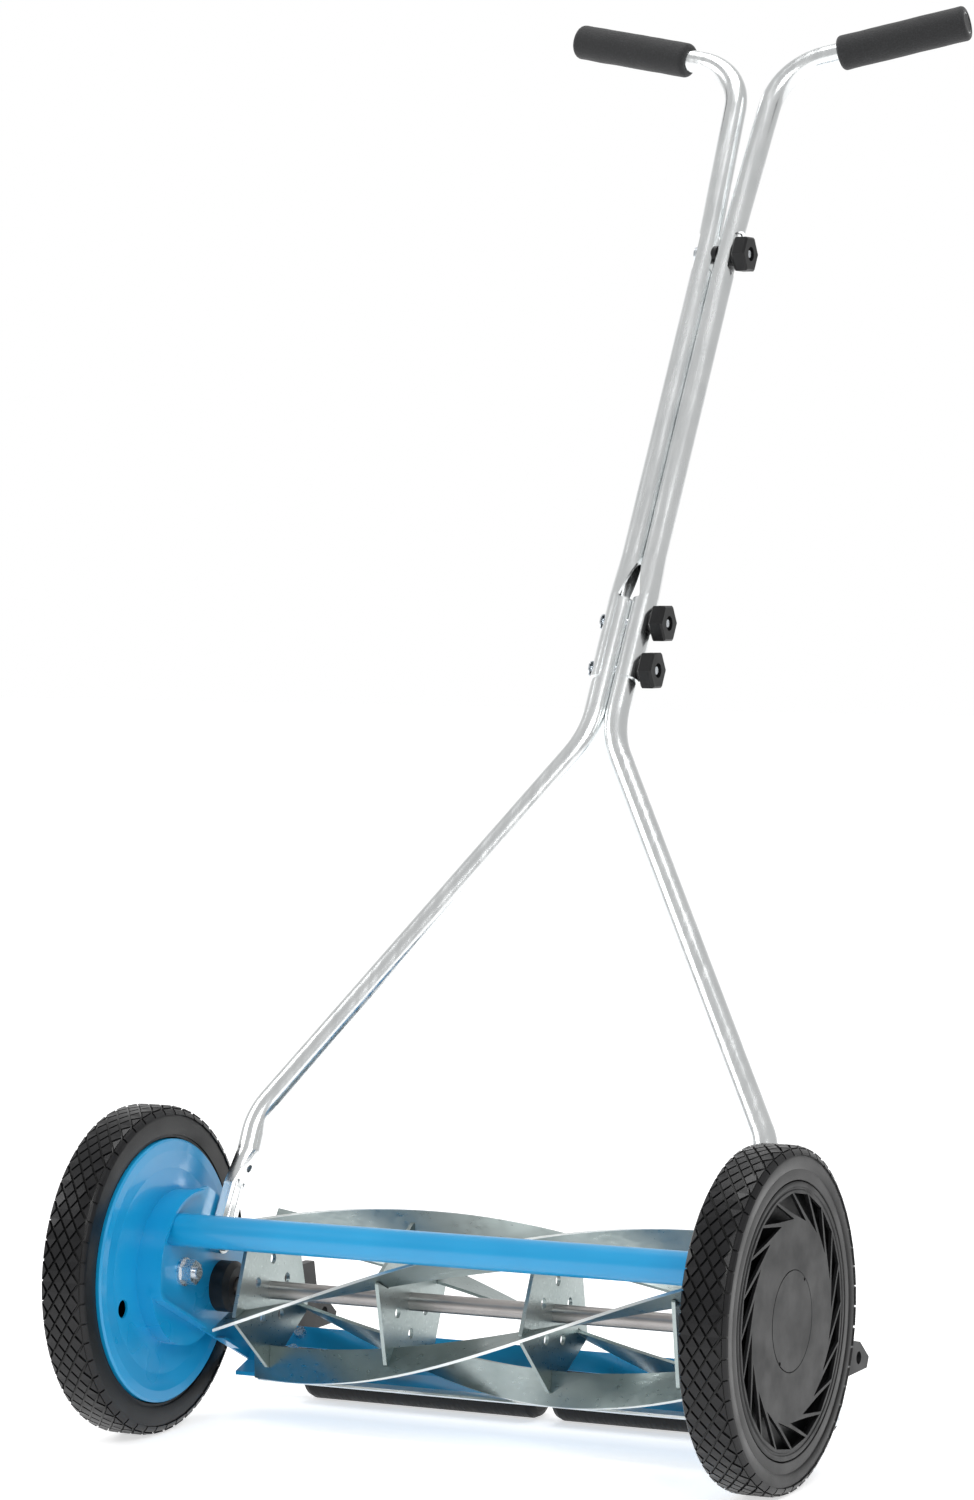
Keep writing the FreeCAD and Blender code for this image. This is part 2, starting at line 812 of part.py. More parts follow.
def make_pinion():
    """Small gear that the wheel's ring gear drives, hollowed for the drive pawl."""
    pitch = gear_module.value * pinion_teeth.value / 2
    face = gear_outline(
        pinion_teeth.value,
        pitch - tooth_rise.value - 0.6,
        pitch + tooth_rise.value,
        ROOT_HALF,
        tooth_thickness.value / 2,
        TIP_HALF,
        pitch,
        mesh_angle,
    )
    width = gear_width.value - 1.0
    gear = face.extrude(Vector(width, 0, 0))
    bore = Part.makeCylinder(shaft_radius.value + running_gap.value, width, Vector(0, 0, 0), Vector(1, 0, 0))
    recess = Part.makeCylinder(9.6, width - 6.0, Vector(6.0, 0, 0), Vector(1, 0, 0))
    spot = Vector(gear_start.value + 0.5, reel_back.value, reel_height.value)
    return plain_piece("pinion_gear", gear.cut(bore).cut(recess), Placement(spot, Rotation()))


def make_reel():
    """Shaft, four spiders, five blades, and at each end a pinion with its drive pawl."""
    end = gear_end + 1.0
    pawl_at = gear_start + 9.5
    bar = rod("shaft_bar", shaft_radius, -end, end, reel_back, reel_height)
    slots = []
    pawls = []
    for side, name in ((1, "right"), (-1, "left")):
        middle = pawl_at * side
        low = (middle - 2.0, reel_back - 8.8, reel_height - 1.5)
        high = (middle + 2.0, reel_back + 8.8, reel_height + 1.5)
        pawls.append(block(f"pawl_{name}", low, high))
        slots.append(block(f"pawl_slot_{name}", low, high))
    keep("reel_shaft", cut("shaft", bar, group("pawl_slots", slots)))
    keep("drive_pawls", group("pawls", pawls))
    for number in range(4):
        keep(f"spider_{number + 1}", make_spider(number))
    for number in range(int(blade_count.value)):
        keep(f"blade_{number + 1}", make_blade(number))
    keep_pair("pinion", make_pinion())


def make_bearings():
    """Cup, balls and cone of the ball bearing at each end of the reel."""
    front = floor_plate - 15.5
    cone_radius = 10.6
    ball = 2.45
    race = cone_radius + running_gap + ball
    bore = race + ball
    cup = turned(
        "cup",
        [
            (front, shaft_radius + 1.5),
            (front, 16.0),
            (front + 4.0, 20.0),
            (floor_plate, 20.0),
            (floor_plate, bore),
            (front + 3.0, bore),
            (front + 3.0, shaft_radius + 1.5),
        ],
        reel_back,
        reel_height,
    )
    keep_pair("bearing_cup", cup)
    cones = []
    for side in (1, -1):
        ends = [(front + 4.0) * side, (front + 13.0) * side]
        low, high = sorted(ends, key=lambda size: size.value)
        disc = rod(f"cone_disc_{side + 1}", cone_radius, low, high, reel_back, reel_height)
        hole = rod(f"cone_bore_{side + 1}", shaft_radius, low - 1, high + 1, reel_back, reel_height)
        cones.append(cut(f"cone_{side + 1}", disc, hole))
    keep("bearing_cones", group("cones", cones))
    balls = []
    count = 12
    for number in range(count):
        angle = 2 * math.pi * number / count
        sphere = doc.addObject("Part::Sphere", f"ball_{number}")
        bind(sphere, "Radius", ball)
        y = reel_back + race * math.cos(angle)
        z = reel_height + race * math.sin(angle)
        place(sphere, front + 8.5, y, z)
        balls.append(sphere)
    right = group("balls_right", balls)
    keep("bearing_balls", group("balls", [right, mirrored("balls_left", right)]))


# ---- bed knife and cutter bar ----
def make_cutter_bar():
    """Bent channel behind the reel that carries the bed knife, with an ear at each end."""
    knife_top = reel_height - reel_radius - knife_gap
    seat = knife_top
    back = reel_back
    front = back + 22.0
    section = [
        (front, seat),
        (back + 41.0, seat + 6.0),
        (back + 66.0, seat + 31.0),
        (back + 80.0, seat + 27.0),
        (back + 79.0, seat + 24.0),
        (back + 67.0, seat + 27.4),
        (back + 43.0, seat + 3.2),
        (front, seat - 3.0),
    ]
    body = new_body("cutter_bar_body")
    pad(body, "channel", section, -floor_plate, floor_plate * 2)
    ear = [
        (back + 41.0, seat + 3.0),
        (back + 66.0, seat + 4.0),
        (back + 78.0, seat + 25.0),
        (back + 66.0, seat + 29.0),
    ]
    pad(body, "right_ear", ear, floor_plate - 3.0, 3.0)
    pad(body, "left_ear", ear, -floor_plate, 3.0)
    y, z = bracket_bolt_spots()[2]
    pocket(body, "ear_holes", [], -floor_plate - 1.0, floor_plate * 2 + 2.0, [(y, z, fastener_radius)])
    keep("cutter_bar", body)
    knife = [
        (back + 4.0, knife_top - 1.2),
        (back + 6.0, knife_top),
        (front, knife_top),
        (front, knife_top - 3.0),
        (back + 8.0, knife_top - 3.0),
    ]
    blade = new_body("bed_knife_body")
    pad(blade, "knife_strip", knife, -reel_half, reel_half * 2)
    keep("bed_knife", blade)


def make_knife_screws():
    """Screw heads square on the channel's slope near each end; they set the knife to the reel."""
    screws = []
    seat = reel_height - reel_radius - knife_gap
    square_on = Rotation(Vector(1, 0, 0), 45)
    for number, x in enumerate((-190.0, 190.0)):
        for step, rise in enumerate((14.0, 26.0)):
            head = doc.addObject("Part::Cylinder", f"screw_head_{number}_{step}")
            bind(head, "Radius", 4.5)
            bind(head, "Height", 4.0)
            place(head, x, reel_back + 35.0 + rise, seat + rise, square_on)
            screws.append(head)
    keep("adjusting_screws", group("screws", screws))


# ---- rollers ----
def make_roller(name, start, end):
    """One hollow roller section with rounded ends."""
    shell = 3.0
    soft = 6.0
    bore = roller_rod_radius + running_gap
    low, high = as_size(start), as_size(end)
    profile = [
        (low, bore),
        (low, roller_radius - soft),
        (low + 1.8, roller_radius - 1.8),
        (low + soft, roller_radius),
        (high - soft, roller_radius),
        (high - 1.8, roller_radius - 1.8),
        (high, roller_radius - soft),
        (high, bore),
        (high - 8.0, bore),
        (high - 8.0, roller_radius - shell),
        (low + 8.0, roller_radius - shell),
        (low + 8.0, bore),
    ]
    return turned(name, profile, roller_back, roller_radius)


def make_roller_arm():
    """Moulded arm from the bracket's ear to the roller rod, with a tail and a spare hole."""
    low = roller_radius - 14.0
    points = [
        (112.0, 60.0),
        (152.0, 40.0),
        (roller_back - 13.0, low + 4.0),
        (roller_back, low),
        (roller_back + 12.0, low + 4.0),
        (roller_back + 17.0, 27.0),
        (212.0, 48.0),
        (250.0, 48.5),
        (254.0, 56.5),
        (236.0, 71.0),
        (222.0, 74.0),
        (216.0, 104.0),
        (198.0, 104.0),
        (150.0, 104.0),
        (112.0, 104.0),
    ]
    body = new_body("roller_arm_body")
    pad(body, "arm_plate", points, boss_face, arm_thickness)
    spots = bracket_bolt_spots()[:2]
    circles = [(y, z, fastener_radius) for y, z in spots]
    circles.append((roller_back, roller_radius, roller_rod_radius))
    circles.append((233.0, 59.0, 5.0))
    pocket(body, "arm_holes", [], boss_face - 1.0, arm_thickness + 2.0, circles)
    return body


def make_rollers():
    keep("roller_right", make_roller("roller_section_right", roller_split, roller_end))
    keep("roller_left", make_roller("roller_section_left", -roller_end, -roller_split))
    keep_pair("roller_arm", make_roller_arm())
    reach = arm_end + 6.0
    keep("roller_rod", rod("rod_bar", roller_rod_radius, -reach, reach, roller_back, roller_radius))


# ---- handle ----
handle_bolt_radius = 3.2
middle_knob_reach = 551.0
bottom_knob_reach = 508.0
foot_middle = floor_plate - 6.0
foot_half_thickness = 3.6
dent_outside = 6.0
dent_inside = 8.0


def handle_place(piece):
    """Lean a piece drawn upright from the pivot back to the handle's own angle."""
    lean = Rotation(Vector(-1, 0, 0), handle_lean.value)
    place(piece, 0, pivot_back, pivot_height, lean)
    bind(piece, ".Placement.Rotation.Angle", handle_lean)
    return piece


def spot(across, reach):
    """A point in the handle's own plane: across the mower, and up the handle from the pivot."""
    return Vector(as_size(across).value, 0, as_size(reach).value)


def bent_tube(corners, radii, outer, inner):
    """A tube along straight runs and arcs in the handle's plane, through the given corners."""
    edges = []
    start = corners[0]
    for before, here, after, radius in zip(corners, corners[1:], corners[2:], radii):
        into = (before - here).normalize()
        out = (after - here).normalize()
        turn = math.pi - into.getAngle(out)
        back_off = radius * math.tan(turn / 2)
        first = here + into * back_off
        last = here + out * back_off
        middle_way = (into + out).normalize()
        depth = radius / math.cos(turn / 2) - radius
        edges.append(Part.makeLine(start, first))
        edges.append(Part.Arc(first, here + middle_way * depth, last).toShape())
        start = last
    edges.append(Part.makeLine(start, corners[-1]))
    path = Part.Wire(edges)
    way = (corners[1] - corners[0]).normalize()
    solids = []
    for radius in (outer, inner):
        ring = Part.Wire(Part.makeCircle(radius, corners[0], way))
        solids.append(path.makePipeShell([ring], True, False, 2))
    return solids[0].cut(solids[1])


def ring_of_arcs(centre, way, radius):
    """A circle in four quarters whose ends face a rectangle's corners."""
    side = Vector(0, 1, 0)
    across = side.cross(way).normalize()
    points = []
    for eighth in range(9):
        angle = math.pi / 4 * (eighth - 3)
        points.append(centre + across * (radius * math.cos(angle)) + side * (radius * math.sin(angle)))
    arcs = [Part.Arc(*points[low : low + 3]).toShape() for low in (0, 2, 4, 6)]
    return Part.Wire(arcs)


def leg_foot(start, way, outer):
    """The leg's flattened lower end: a rounded strip, drawn out to the round tube."""
    flat_top = 44.0
    half_width = 11.0
    half = foot_half_thickness
    middle = foot_middle.value
    strip = Part.makeBox(2 * half, 2 * half_width, flat_top, Vector(middle - half, -half_width, 0))
    toe = Part.makeCylinder(half_width, 2 * half, Vector(middle - half, 0, 0), Vector(1, 0, 0))
    corners = [(-half, -half_width), (half, -half_width), (half, half_width), (-half, half_width)]
    points = [Vector(middle + x, y, flat_top) for x, y in corners]
    mouth = Part.makePolygon(points + points[:1])
    swage = Part.makeLoft([mouth, ring_of_arcs(start, way, outer)], True, True)
    foot = strip.fuse([toe, swage])
    up = Vector(0, 0, 1)
    for y in (-4.5, 4.5):
        foot = foot.cut(Part.makeCylinder(1.6, 34.0, Vector(middle - half - 0.6, y, 15.0), up))
    hole = Part.makeCylinder(fastener_radius.value + 0.1, 20.0, Vector(middle - 10, 0, 0), Vector(1, 0, 0))
    return foot.cut(hole)


def cross_hole(shape, reach, start=-30.0):
    """Drill a bolt hole across the handle."""
    return shape.cut(Part.makeCylinder(handle_bolt_radius, 60.0, Vector(start, 0, reach), Vector(1, 0, 0)))


def make_lower_handle():
    """Leg of the handle: flattened at the pivot, bent in to the neck, straight to its top."""
    outer = tube_radius.value
    inner = outer - tube_wall.value
    tube_start = 74.0
    beside_middle = outer + 0.1
    corners = [
        spot(leg_spread + 0.5, tube_start),
        spot(leg_spread + 1.7, knee_reach),
        spot(beside_middle, neck_reach),
        spot(beside_middle, lower_top),
    ]
    way = (corners[1] - corners[0]).normalize()
    tube = bent_tube(corners, [52.0, 80.0], outer, inner)
    shape = tube.fuse(leg_foot(corners[0], way, outer))
    shape = cross_hole(shape, middle_knob_reach)
    shape = cross_hole(shape, bottom_knob_reach)
    drain = Part.makeCylinder(3.0, 60.0, spot(leg_spread - 30, 60.0), Vector(1, 0, 0))
    return handle_place(plain_piece("lower_leg", shape.cut(drain)))


def slab(outline, half_depth=20.0):
    """A prism across the handle: its (X, reach) outline carried both ways along the plane's normal."""
    points = [Vector(x, -half_depth, reach) for x, reach in outline]
    return Part.Face(Part.makePolygon(points + points[:1])).extrude(Vector(0, 2 * half_depth, 0))


def dented(shape, middle, reach):
    """Squeeze a tube flat on both sides round a bolt; its inside is closed there."""
    inner = (tube_radius - tube_wall).value
    core = Part.makeCylinder(inner, 50.0, Vector(middle, 0, reach - 25.0), Vector(0, 0, 1))
    shape = shape.fuse(core)
    for way, depth in ((1, dent_outside), (-1, dent_inside)):
        near, far = middle + way * depth, middle + way * (depth + 8.0)
        shape = shape.cut(slab([(near, reach - 16), (near, reach + 16), (far, reach + 26), (far, reach - 26)]))
    return shape


def make_upper_handle():
    """Upper tube: a trough that clasps the leg, a spoon-shaped mouth, a stem, and the crossarm."""
    outer = tube_radius.value
    inner = outer - tube_wall.value
    beside_middle = outer + 0.1
    trough_wall = 1.8
    trough_low = trough_end.value
    leg_top = lower_top.value
    spoon_top = leg_top + 40.0
    corners = [
        spot(beside_middle, spoon_top - 6.0),
        spot(beside_middle, top_bolt_reach),
        spot(corner_spread, corner_reach),
        spot(bar_end_spread, bar_end_reach),
    ]
    tube = bent_tube(corners, [200.0, 52.0], outer, inner)
    up = Vector(0, 0, 1)
    length = leg_top + 2.0 - trough_low
    base = spot(beside_middle, trough_low)
    trough = Part.makeCylinder(outer + trough_wall, length, base, up)
    trough = trough.cut(Part.makeCylinder(outer, length, base, up))
    wide = Part.Wire(Part.makeCircle(outer + trough_wall, spot(beside_middle, leg_top + 2.0), up))
    narrow = Part.Wire(Part.makeCircle(outer, spot(beside_middle, spoon_top), up))
    mouth = Part.makeLoft([wide, narrow], True, True)
    mouth = mouth.cut(Part.makeCylinder(inner, 60.0, spot(beside_middle, leg_top), up))
    open_side = [
        (-20, trough_low - 1),
        (outer, trough_low - 1),
        (outer, leg_top + 2),
        (0, spoon_top),
        (-20, spoon_top),
    ]
    shape = tube.fuse([mouth, trough]).cut(slab(open_side))
    shape = dented(shape, beside_middle, top_bolt_reach.value)
    for reach in (bottom_knob_reach, middle_knob_reach, top_bolt_reach.value):
        shape = cross_hole(shape, reach, -20.0)
    return handle_place(plain_piece("upper_tube", shape))


def make_handle_spacer():
    """Plastic ring between the two upper tubes at the top bolt."""
    half = tube_radius.value + 0.1 - dent_inside
    ring = Part.makeCylinder(7.5, 2 * half, Vector(-half, 0, top_bolt_reach.value), Vector(1, 0, 0))
    return handle_place(plain_piece("spacer_ring", cross_hole(ring, top_bolt_reach.value)))


def crossarm_way():
    """Direction of the right crossarm, and the point where it ends."""
    end = Vector(bar_end_spread.value, 0, bar_end_reach.value)
    corner = Vector(corner_spread.value, 0, corner_reach.value)
    return (end - corner).normalize(), end


def make_grip():
    """Foam sleeve over the end of the crossarm."""
    way, end = crossarm_way()
    start = end + way * 0.5 - way * grip_length.value
    sleeve = Part.makeCylinder(grip_radius.value, grip_length.value, start, way)
    bore = Part.makeCylinder(tube_radius.value, grip_length.value, start, way)
    return handle_place(plain_piece("grip_sleeve", sleeve.cut(bore)))


def make_end_plug():
    """Plastic plug in the crossarm's open end."""
    way, end = crossarm_way()
    plug = Part.makeCylinder((tube_radius - tube_wall).value, 12.0, end - way * 12.0, way)
    return handle_place(plain_piece("tube_plug", plug))


def make_knob(name, reach, start):
    """Six-sided knob on a round stem, with a recess round the bolt's end."""
    sideways = Vector(1, 0, 0)
    radius = knob_radius.value
    stem = Part.makeCylinder(9.5, 4.0, Vector(start, 0, reach), sideways)
    points = []
    for corner in range(7):
        angle = math.pi / 3 * corner + math.pi / 6
        points.append(Vector(start + 3.0, radius * math.cos(angle), reach + radius * math.sin(angle)))
    head = Part.Face(Part.makePolygon(points)).extrude(Vector(12.0, 0, 0))
    end_edges = [edge for edge in head.Edges if abs(edge.BoundBox.XLength) < 1e-6]
    head = head.makeChamfer(1.5, end_edges)
    recess = Part.makeCylinder(6.0, 5.0, Vector(start + 11.0, 0, reach), sideways)
    bore = Part.makeCylinder(handle_bolt_radius + running_gap.value, 20.0, Vector(start - 1, 0, reach), sideways)
    return handle_place(plain_piece(name, stem.fuse(head).cut(recess).cut(bore).removeSplitter()))


def make_handle_bolt(name, reach, start, head_height):
    """Round-headed bolt across the handle, from the left side to its knob."""
    sideways = Vector(1, 0, 0)
    head = Part.makeCylinder(7.0, head_height, Vector(-start - head_height, 0, reach), sideways)
    shank = Part.makeCylinder(handle_bolt_radius, 2 * start + 13.5, Vector(-start, 0, reach), sideways)
    return handle_place(plain_piece(name, head.fuse(shank)))


def make_handle():
    """Legs, upper tubes, grips and plugs, and the knobs with their bolts and the top spacer."""
    keep_pair("lower_handle", make_lower_handle())
    keep_pair("upper_handle", make_upper_handle())
    keep_pair("grip", make_grip())
    plug = make_end_plug()
    keep("end_plugs", group("plugs", [plug, mirrored("plug_left", plug)]))
    keep("handle_spacer", make_handle_spacer())
    beside_middle = tube_radius.value + 0.1
    at_dent = beside_middle + dent_outside + 0.4
    at_trough = beside_middle + tube_radius.value + 1.8 + 0.4
    places = {
        "top": (top_bolt_reach.value, at_dent, 2.5),
        "middle": (middle_knob_reach, at_trough, 1.0),
        "bottom": (bottom_knob_reach, at_trough, 1.0),
    }
    bolts = []
    for name, (reach, start, head_height) in places.items():
        keep(f"knob_{name}", make_knob(f"{name}_knob_piece", reach, start))
        bolts.append(make_handle_bolt(f"{name}_bolt", reach, start, head_height))
    keep("handle_bolts", group("handle_bolt_set", bolts))


def make_pivots():
    """Stud through each bracket that the leg's flat end turns on, and the push nut that keeps it."""
    near = foot_middle - foot_half_thickness - 0.4
    stud = joined(
        "pivot_stud_right",
        [
            rod("pivot_pin", fastener_radius, near - 4.0, floor_plate + 1.0, pivot_back, pivot_height),
            rod("pivot_collar", fastener_radius + 5.0, floor_plate - 2.0, floor_plate, pivot_back, pivot_height),
            rod("pivot_root", fastener_radius + 1.0, floor_plate, boss_face, pivot_back, pivot_height),
        ],
    )
    keep("handle_studs", group("studs", [stud, mirrored("pivot_stud_left", stud)]))
    nuts = []
    spots = [
        (near - 2.2, near, pivot_back, pivot_height, fastener_radius),
        (hub_end + 0.8, hub_end + 2.6, 0, axle_height, axle_radius),
        (arm_end, arm_end + 2.5, roller_back, roller_radius, roller_rod_radius),
    ]
    for number, (start, end, y, z, bore) in enumerate(spots):
        disc = rod(f"push_disc_{number}", bore + 5.0, start, end, y, z)
        hole = rod(f"push_hole_{number}", bore, start - 1.0, end + 1.0, y, z)
        nuts.append(cut(f"push_nut_{number}", disc, hole))
    left = [mirrored(f"{nut.Name}_left", nut) for nut in nuts]
    keep("push_nuts", group("push_nut_set", nuts + left))


def build():
    make_wheels()
    make_axle_fasteners()
    make_side_frames()
    make_crossbar()
    make_frame_bolts()
    make_reel()
    make_bearings()
    make_cutter_bar()
    make_knife_screws()
    make_rollers()
    make_handle()
    make_pivots()
    doc.recompute()


def check_and_write():
    """Stop on any failed object; then write each sub-part to its own file."""
    bad = [item.Name for item in doc.Objects if {"Invalid", "Error"} & set(item.State)]
    assert not bad, f"failed objects: {bad}"
    for label, piece in pieces.items():
        shape = piece.Shape
        assert not shape.isNull() and shape.isValid() and shape.Volume > 0, label
        assert shape.Solids, label
    os.makedirs("parts", exist_ok=True)
    for label, piece in pieces.items():
        piece.Shape.exportStep(f"parts/{label}.step")
    print(len(pieces), "sub-parts written")


build()
check_and_write()
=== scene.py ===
import math

import bmesh
import bpy
import numpy as np
from mathutils import Euler, Matrix, Vector, noise


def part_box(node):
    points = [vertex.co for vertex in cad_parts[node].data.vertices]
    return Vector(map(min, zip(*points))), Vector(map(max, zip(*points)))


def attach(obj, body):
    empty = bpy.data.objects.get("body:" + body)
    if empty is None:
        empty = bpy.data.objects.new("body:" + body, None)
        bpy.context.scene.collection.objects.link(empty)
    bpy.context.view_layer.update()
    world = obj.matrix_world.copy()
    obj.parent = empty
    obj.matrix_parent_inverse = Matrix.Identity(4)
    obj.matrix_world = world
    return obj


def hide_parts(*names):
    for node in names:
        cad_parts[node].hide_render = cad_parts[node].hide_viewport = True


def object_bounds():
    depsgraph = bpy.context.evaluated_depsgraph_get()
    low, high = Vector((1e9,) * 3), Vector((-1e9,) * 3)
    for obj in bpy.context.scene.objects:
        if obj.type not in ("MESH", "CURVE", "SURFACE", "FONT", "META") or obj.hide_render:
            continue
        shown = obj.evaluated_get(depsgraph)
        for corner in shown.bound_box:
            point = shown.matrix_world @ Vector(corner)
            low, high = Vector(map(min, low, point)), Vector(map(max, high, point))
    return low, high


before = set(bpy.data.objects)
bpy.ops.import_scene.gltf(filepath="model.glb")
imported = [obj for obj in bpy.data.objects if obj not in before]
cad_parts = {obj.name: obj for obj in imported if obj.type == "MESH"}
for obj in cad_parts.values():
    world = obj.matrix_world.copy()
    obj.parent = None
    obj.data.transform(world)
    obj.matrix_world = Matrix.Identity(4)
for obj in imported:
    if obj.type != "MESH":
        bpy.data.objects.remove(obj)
cad_low, cad_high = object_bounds()

MM = 0.001
SIDES = {"left": -1, "right": 1}


# ---- sizes read from the frame ----
def middle_of(node):
    low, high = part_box(node)
    return (low + high) / 2


def radius_of(node):
    """Radius of a round node that lies along X."""
    low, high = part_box(node)
    return (high.z - low.z) / 2


tyre_low, tyre_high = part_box("tyre_right")
WHEEL_RADIUS = radius_of("tyre_right")
TYRE_WIDTH = tyre_high.x - tyre_low.x
AXLE_HEIGHT = middle_of("tyre_right").z
REEL_AXIS = middle_of("reel_shaft")
CAP_RADIUS = radius_of("hubcap_right")
CENTRE_CAP_RADIUS = radius_of("centre_cap_right")
BLADE_TIP = 70.0 * MM

# Soft noise lies mostly between these two values.
NOISE_LOW, NOISE_HIGH = 0.3, 0.7


# ---- node and colour helpers ----
def colour(code):
    """An sRGB hex code as linear RGBA."""
    parts = [int(code[place : place + 2], 16) / 255 for place in (1, 3, 5)]
    linear = [part / 12.92 if part <= 0.04045 else ((part + 0.055) / 1.055) ** 2.4 for part in parts]
    return (*linear, 1.0)


def socket_named(sockets, key):
    """A socket by number, or by its own or its shown name."""
    if isinstance(key, int):
        return sockets[key]
    return next(item for item in sockets if key in (item.identifier, item.name))


def add(tree, kind, inputs=None, out=0, **settings):
    """One node with its settings; each input is a plain value, another node's output, or a list of them."""
    made = tree.nodes.new(kind)
    for name, value in settings.items():
        setattr(made, name, value)
    for key, value in (inputs or {}).items():
        socket = socket_named(made.inputs, key)
        if isinstance(value, bpy.types.NodeSocket):
            tree.links.new(value, socket)
        elif isinstance(value, list):
            for source in value:
                tree.links.new(source, socket)
        else:
            socket.default_value = value
    return socket_named(made.outputs, out) if made.outputs else made


def new_finish(name):
    """An empty material and its node tree."""
    finish = bpy.data.materials.new(name)
    finish.use_nodes = True
    finish.node_tree.nodes.clear()
    return finish, finish.node_tree


# ---- finishes ----
def moulded_rubber(name, dark, pale):
    """Compression-moulded tyre rubber: near black and dull, with a faint grey bloom."""
    finish, tree = new_finish(name)
    place = add(tree, "ShaderNodeTexCoord", out="Object")
    bloom = add(
        tree,
        "ShaderNodeTexNoise",
        {"Vector": place, "Scale": 1 / (30 * MM), "Detail": 2.0},
        out="Fac",
    )
    grain = add(
        tree,
        "ShaderNodeTexNoise",
        {"Vector": place, "Scale": 1 / (1.1 * MM), "Detail": 3.0},
        out="Fac",
    )
    shade = add(
        tree,
        "ShaderNodeMix",
        {"Factor_Float": bloom, "A_Color": colour(dark), "B_Color": colour(pale)},
        "Result_Color",
        data_type="RGBA",
    )
    dull = add(
        tree,
        "ShaderNodeMapRange",
        {"Value": bloom, "From Min": NOISE_LOW, "From Max": NOISE_HIGH, "To Min": 0.28, "To Max": 0.4},
    )
    skin = add(tree, "ShaderNodeBump", {"Height": grain, "Distance": 0.10 * MM, "Strength": 0.6})
    body = {"Base Color": shade, "Roughness": dull, "Normal": skin, "IOR": 1.5, "Specular IOR Level": 0.3}
    add(tree, "ShaderNodeOutputMaterial", {"Surface": add(tree, "ShaderNodeBsdfPrincipled", body)})
    return finish


def grained_plastic():
    """Injection-moulded polypropylene: charcoal with a spark-eroded grain and soft mottling.

    The real grain is about 0.2 mm. It is drawn at 0.7 mm so that it shows.
    """
    finish, tree = new_finish("grained_black_polypropylene")
    place = add(tree, "ShaderNodeTexCoord", out="Object")
    mottle = add(
        tree,
        "ShaderNodeTexNoise",
        {"Vector": place, "Scale": 1 / (22 * MM), "Detail": 4.0},
        out="Fac",
    )
    grain = add(
        tree,
        "ShaderNodeTexNoise",
        {"Vector": place, "Scale": 1 / (0.7 * MM), "Detail": 2.0},
        out="Fac",
    )
    shade = add(
        tree,
        "ShaderNodeMix",
        {"Factor_Float": mottle, "A_Color": colour("#0b0b0c"), "B_Color": colour("#1c1d1e")},
        "Result_Color",
        data_type="RGBA",
    )
    dull = add(
        tree,
        "ShaderNodeMapRange",
        {"Value": mottle, "From Min": NOISE_LOW, "From Max": NOISE_HIGH, "To Min": 0.36, "To Max": 0.52},
    )
    skin = add(tree, "ShaderNodeBump", {"Height": grain, "Distance": 0.05 * MM, "Strength": 0.6})
    body = {"Base Color": shade, "Roughness": dull, "Normal": skin, "IOR": 1.49, "Specular IOR Level": 0.3}
    add(tree, "ShaderNodeOutputMaterial", {"Surface": add(tree, "ShaderNodeBsdfPrincipled", body)})
    return finish


def roller_plastic():
    """Blown polyethylene of the rollers: blacker and a little waxy, scuffed round its girth."""
    finish, tree = new_finish("waxy_black_polyethylene")
    place = add(tree, "ShaderNodeTexCoord", out="Object")
    around = add(tree, "ShaderNodeMapping", {"Vector": place, "Scale": (6.0, 1.0, 1.0)})
    scuff = add(
        tree,
        "ShaderNodeTexNoise",
        {"Vector": around, "Scale": 1 / (9 * MM), "Detail": 5.0},
        out="Fac",
    )
    shade = add(
        tree,
        "ShaderNodeMix",
        {"Factor_Float": scuff, "A_Color": colour("#060607"), "B_Color": colour("#111112")},
        "Result_Color",
        data_type="RGBA",
    )
    dull = add(
        tree,
        "ShaderNodeMapRange",
        {"Value": scuff, "From Min": NOISE_LOW, "From Max": NOISE_HIGH, "To Min": 0.4, "To Max": 0.6},
    )
    skin = add(tree, "ShaderNodeBump", {"Height": scuff, "Distance": 0.06 * MM, "Strength": 0.5})
    body = {"Base Color": shade, "Roughness": dull, "Normal": skin, "IOR": 1.51, "Specular IOR Level": 0.25}
    add(tree, "ShaderNodeOutputMaterial", {"Surface": add(tree, "ShaderNodeBsdfPrincipled", body)})
    return finish


def natural_nylon():
    """Natural nylon bushing: milky and slightly see-through."""
    finish, tree = new_finish("natural_nylon")
    place = add(tree, "ShaderNodeTexCoord", out="Object")
    tint = add(
        tree,
        "ShaderNodeTexNoise",
        {"Vector": place, "Scale": 1 / (6 * MM), "Detail": 3.0},
        out="Fac",
    )
    grain = add(
        tree,
        "ShaderNodeTexNoise",
        {"Vector": place, "Scale": 1 / (0.8 * MM), "Detail": 3.0},
        out="Fac",
    )
    shade = add(
        tree,
        "ShaderNodeMix",
        {"Factor_Float": tint, "A_Color": colour("#d9d4c4"), "B_Color": colour("#e9e6da")},
        "Result_Color",
        data_type="RGBA",
    )
    skin = add(tree, "ShaderNodeBump", {"Height": grain, "Distance": 0.03 * MM})
    body = {"Base Color": shade, "Roughness": 0.35, "Normal": skin, "IOR": 1.53, "Subsurface Weight": 0.15}
    add(tree, "ShaderNodeOutputMaterial", {"Surface": add(tree, "ShaderNodeBsdfPrincipled", body)})
    return finish


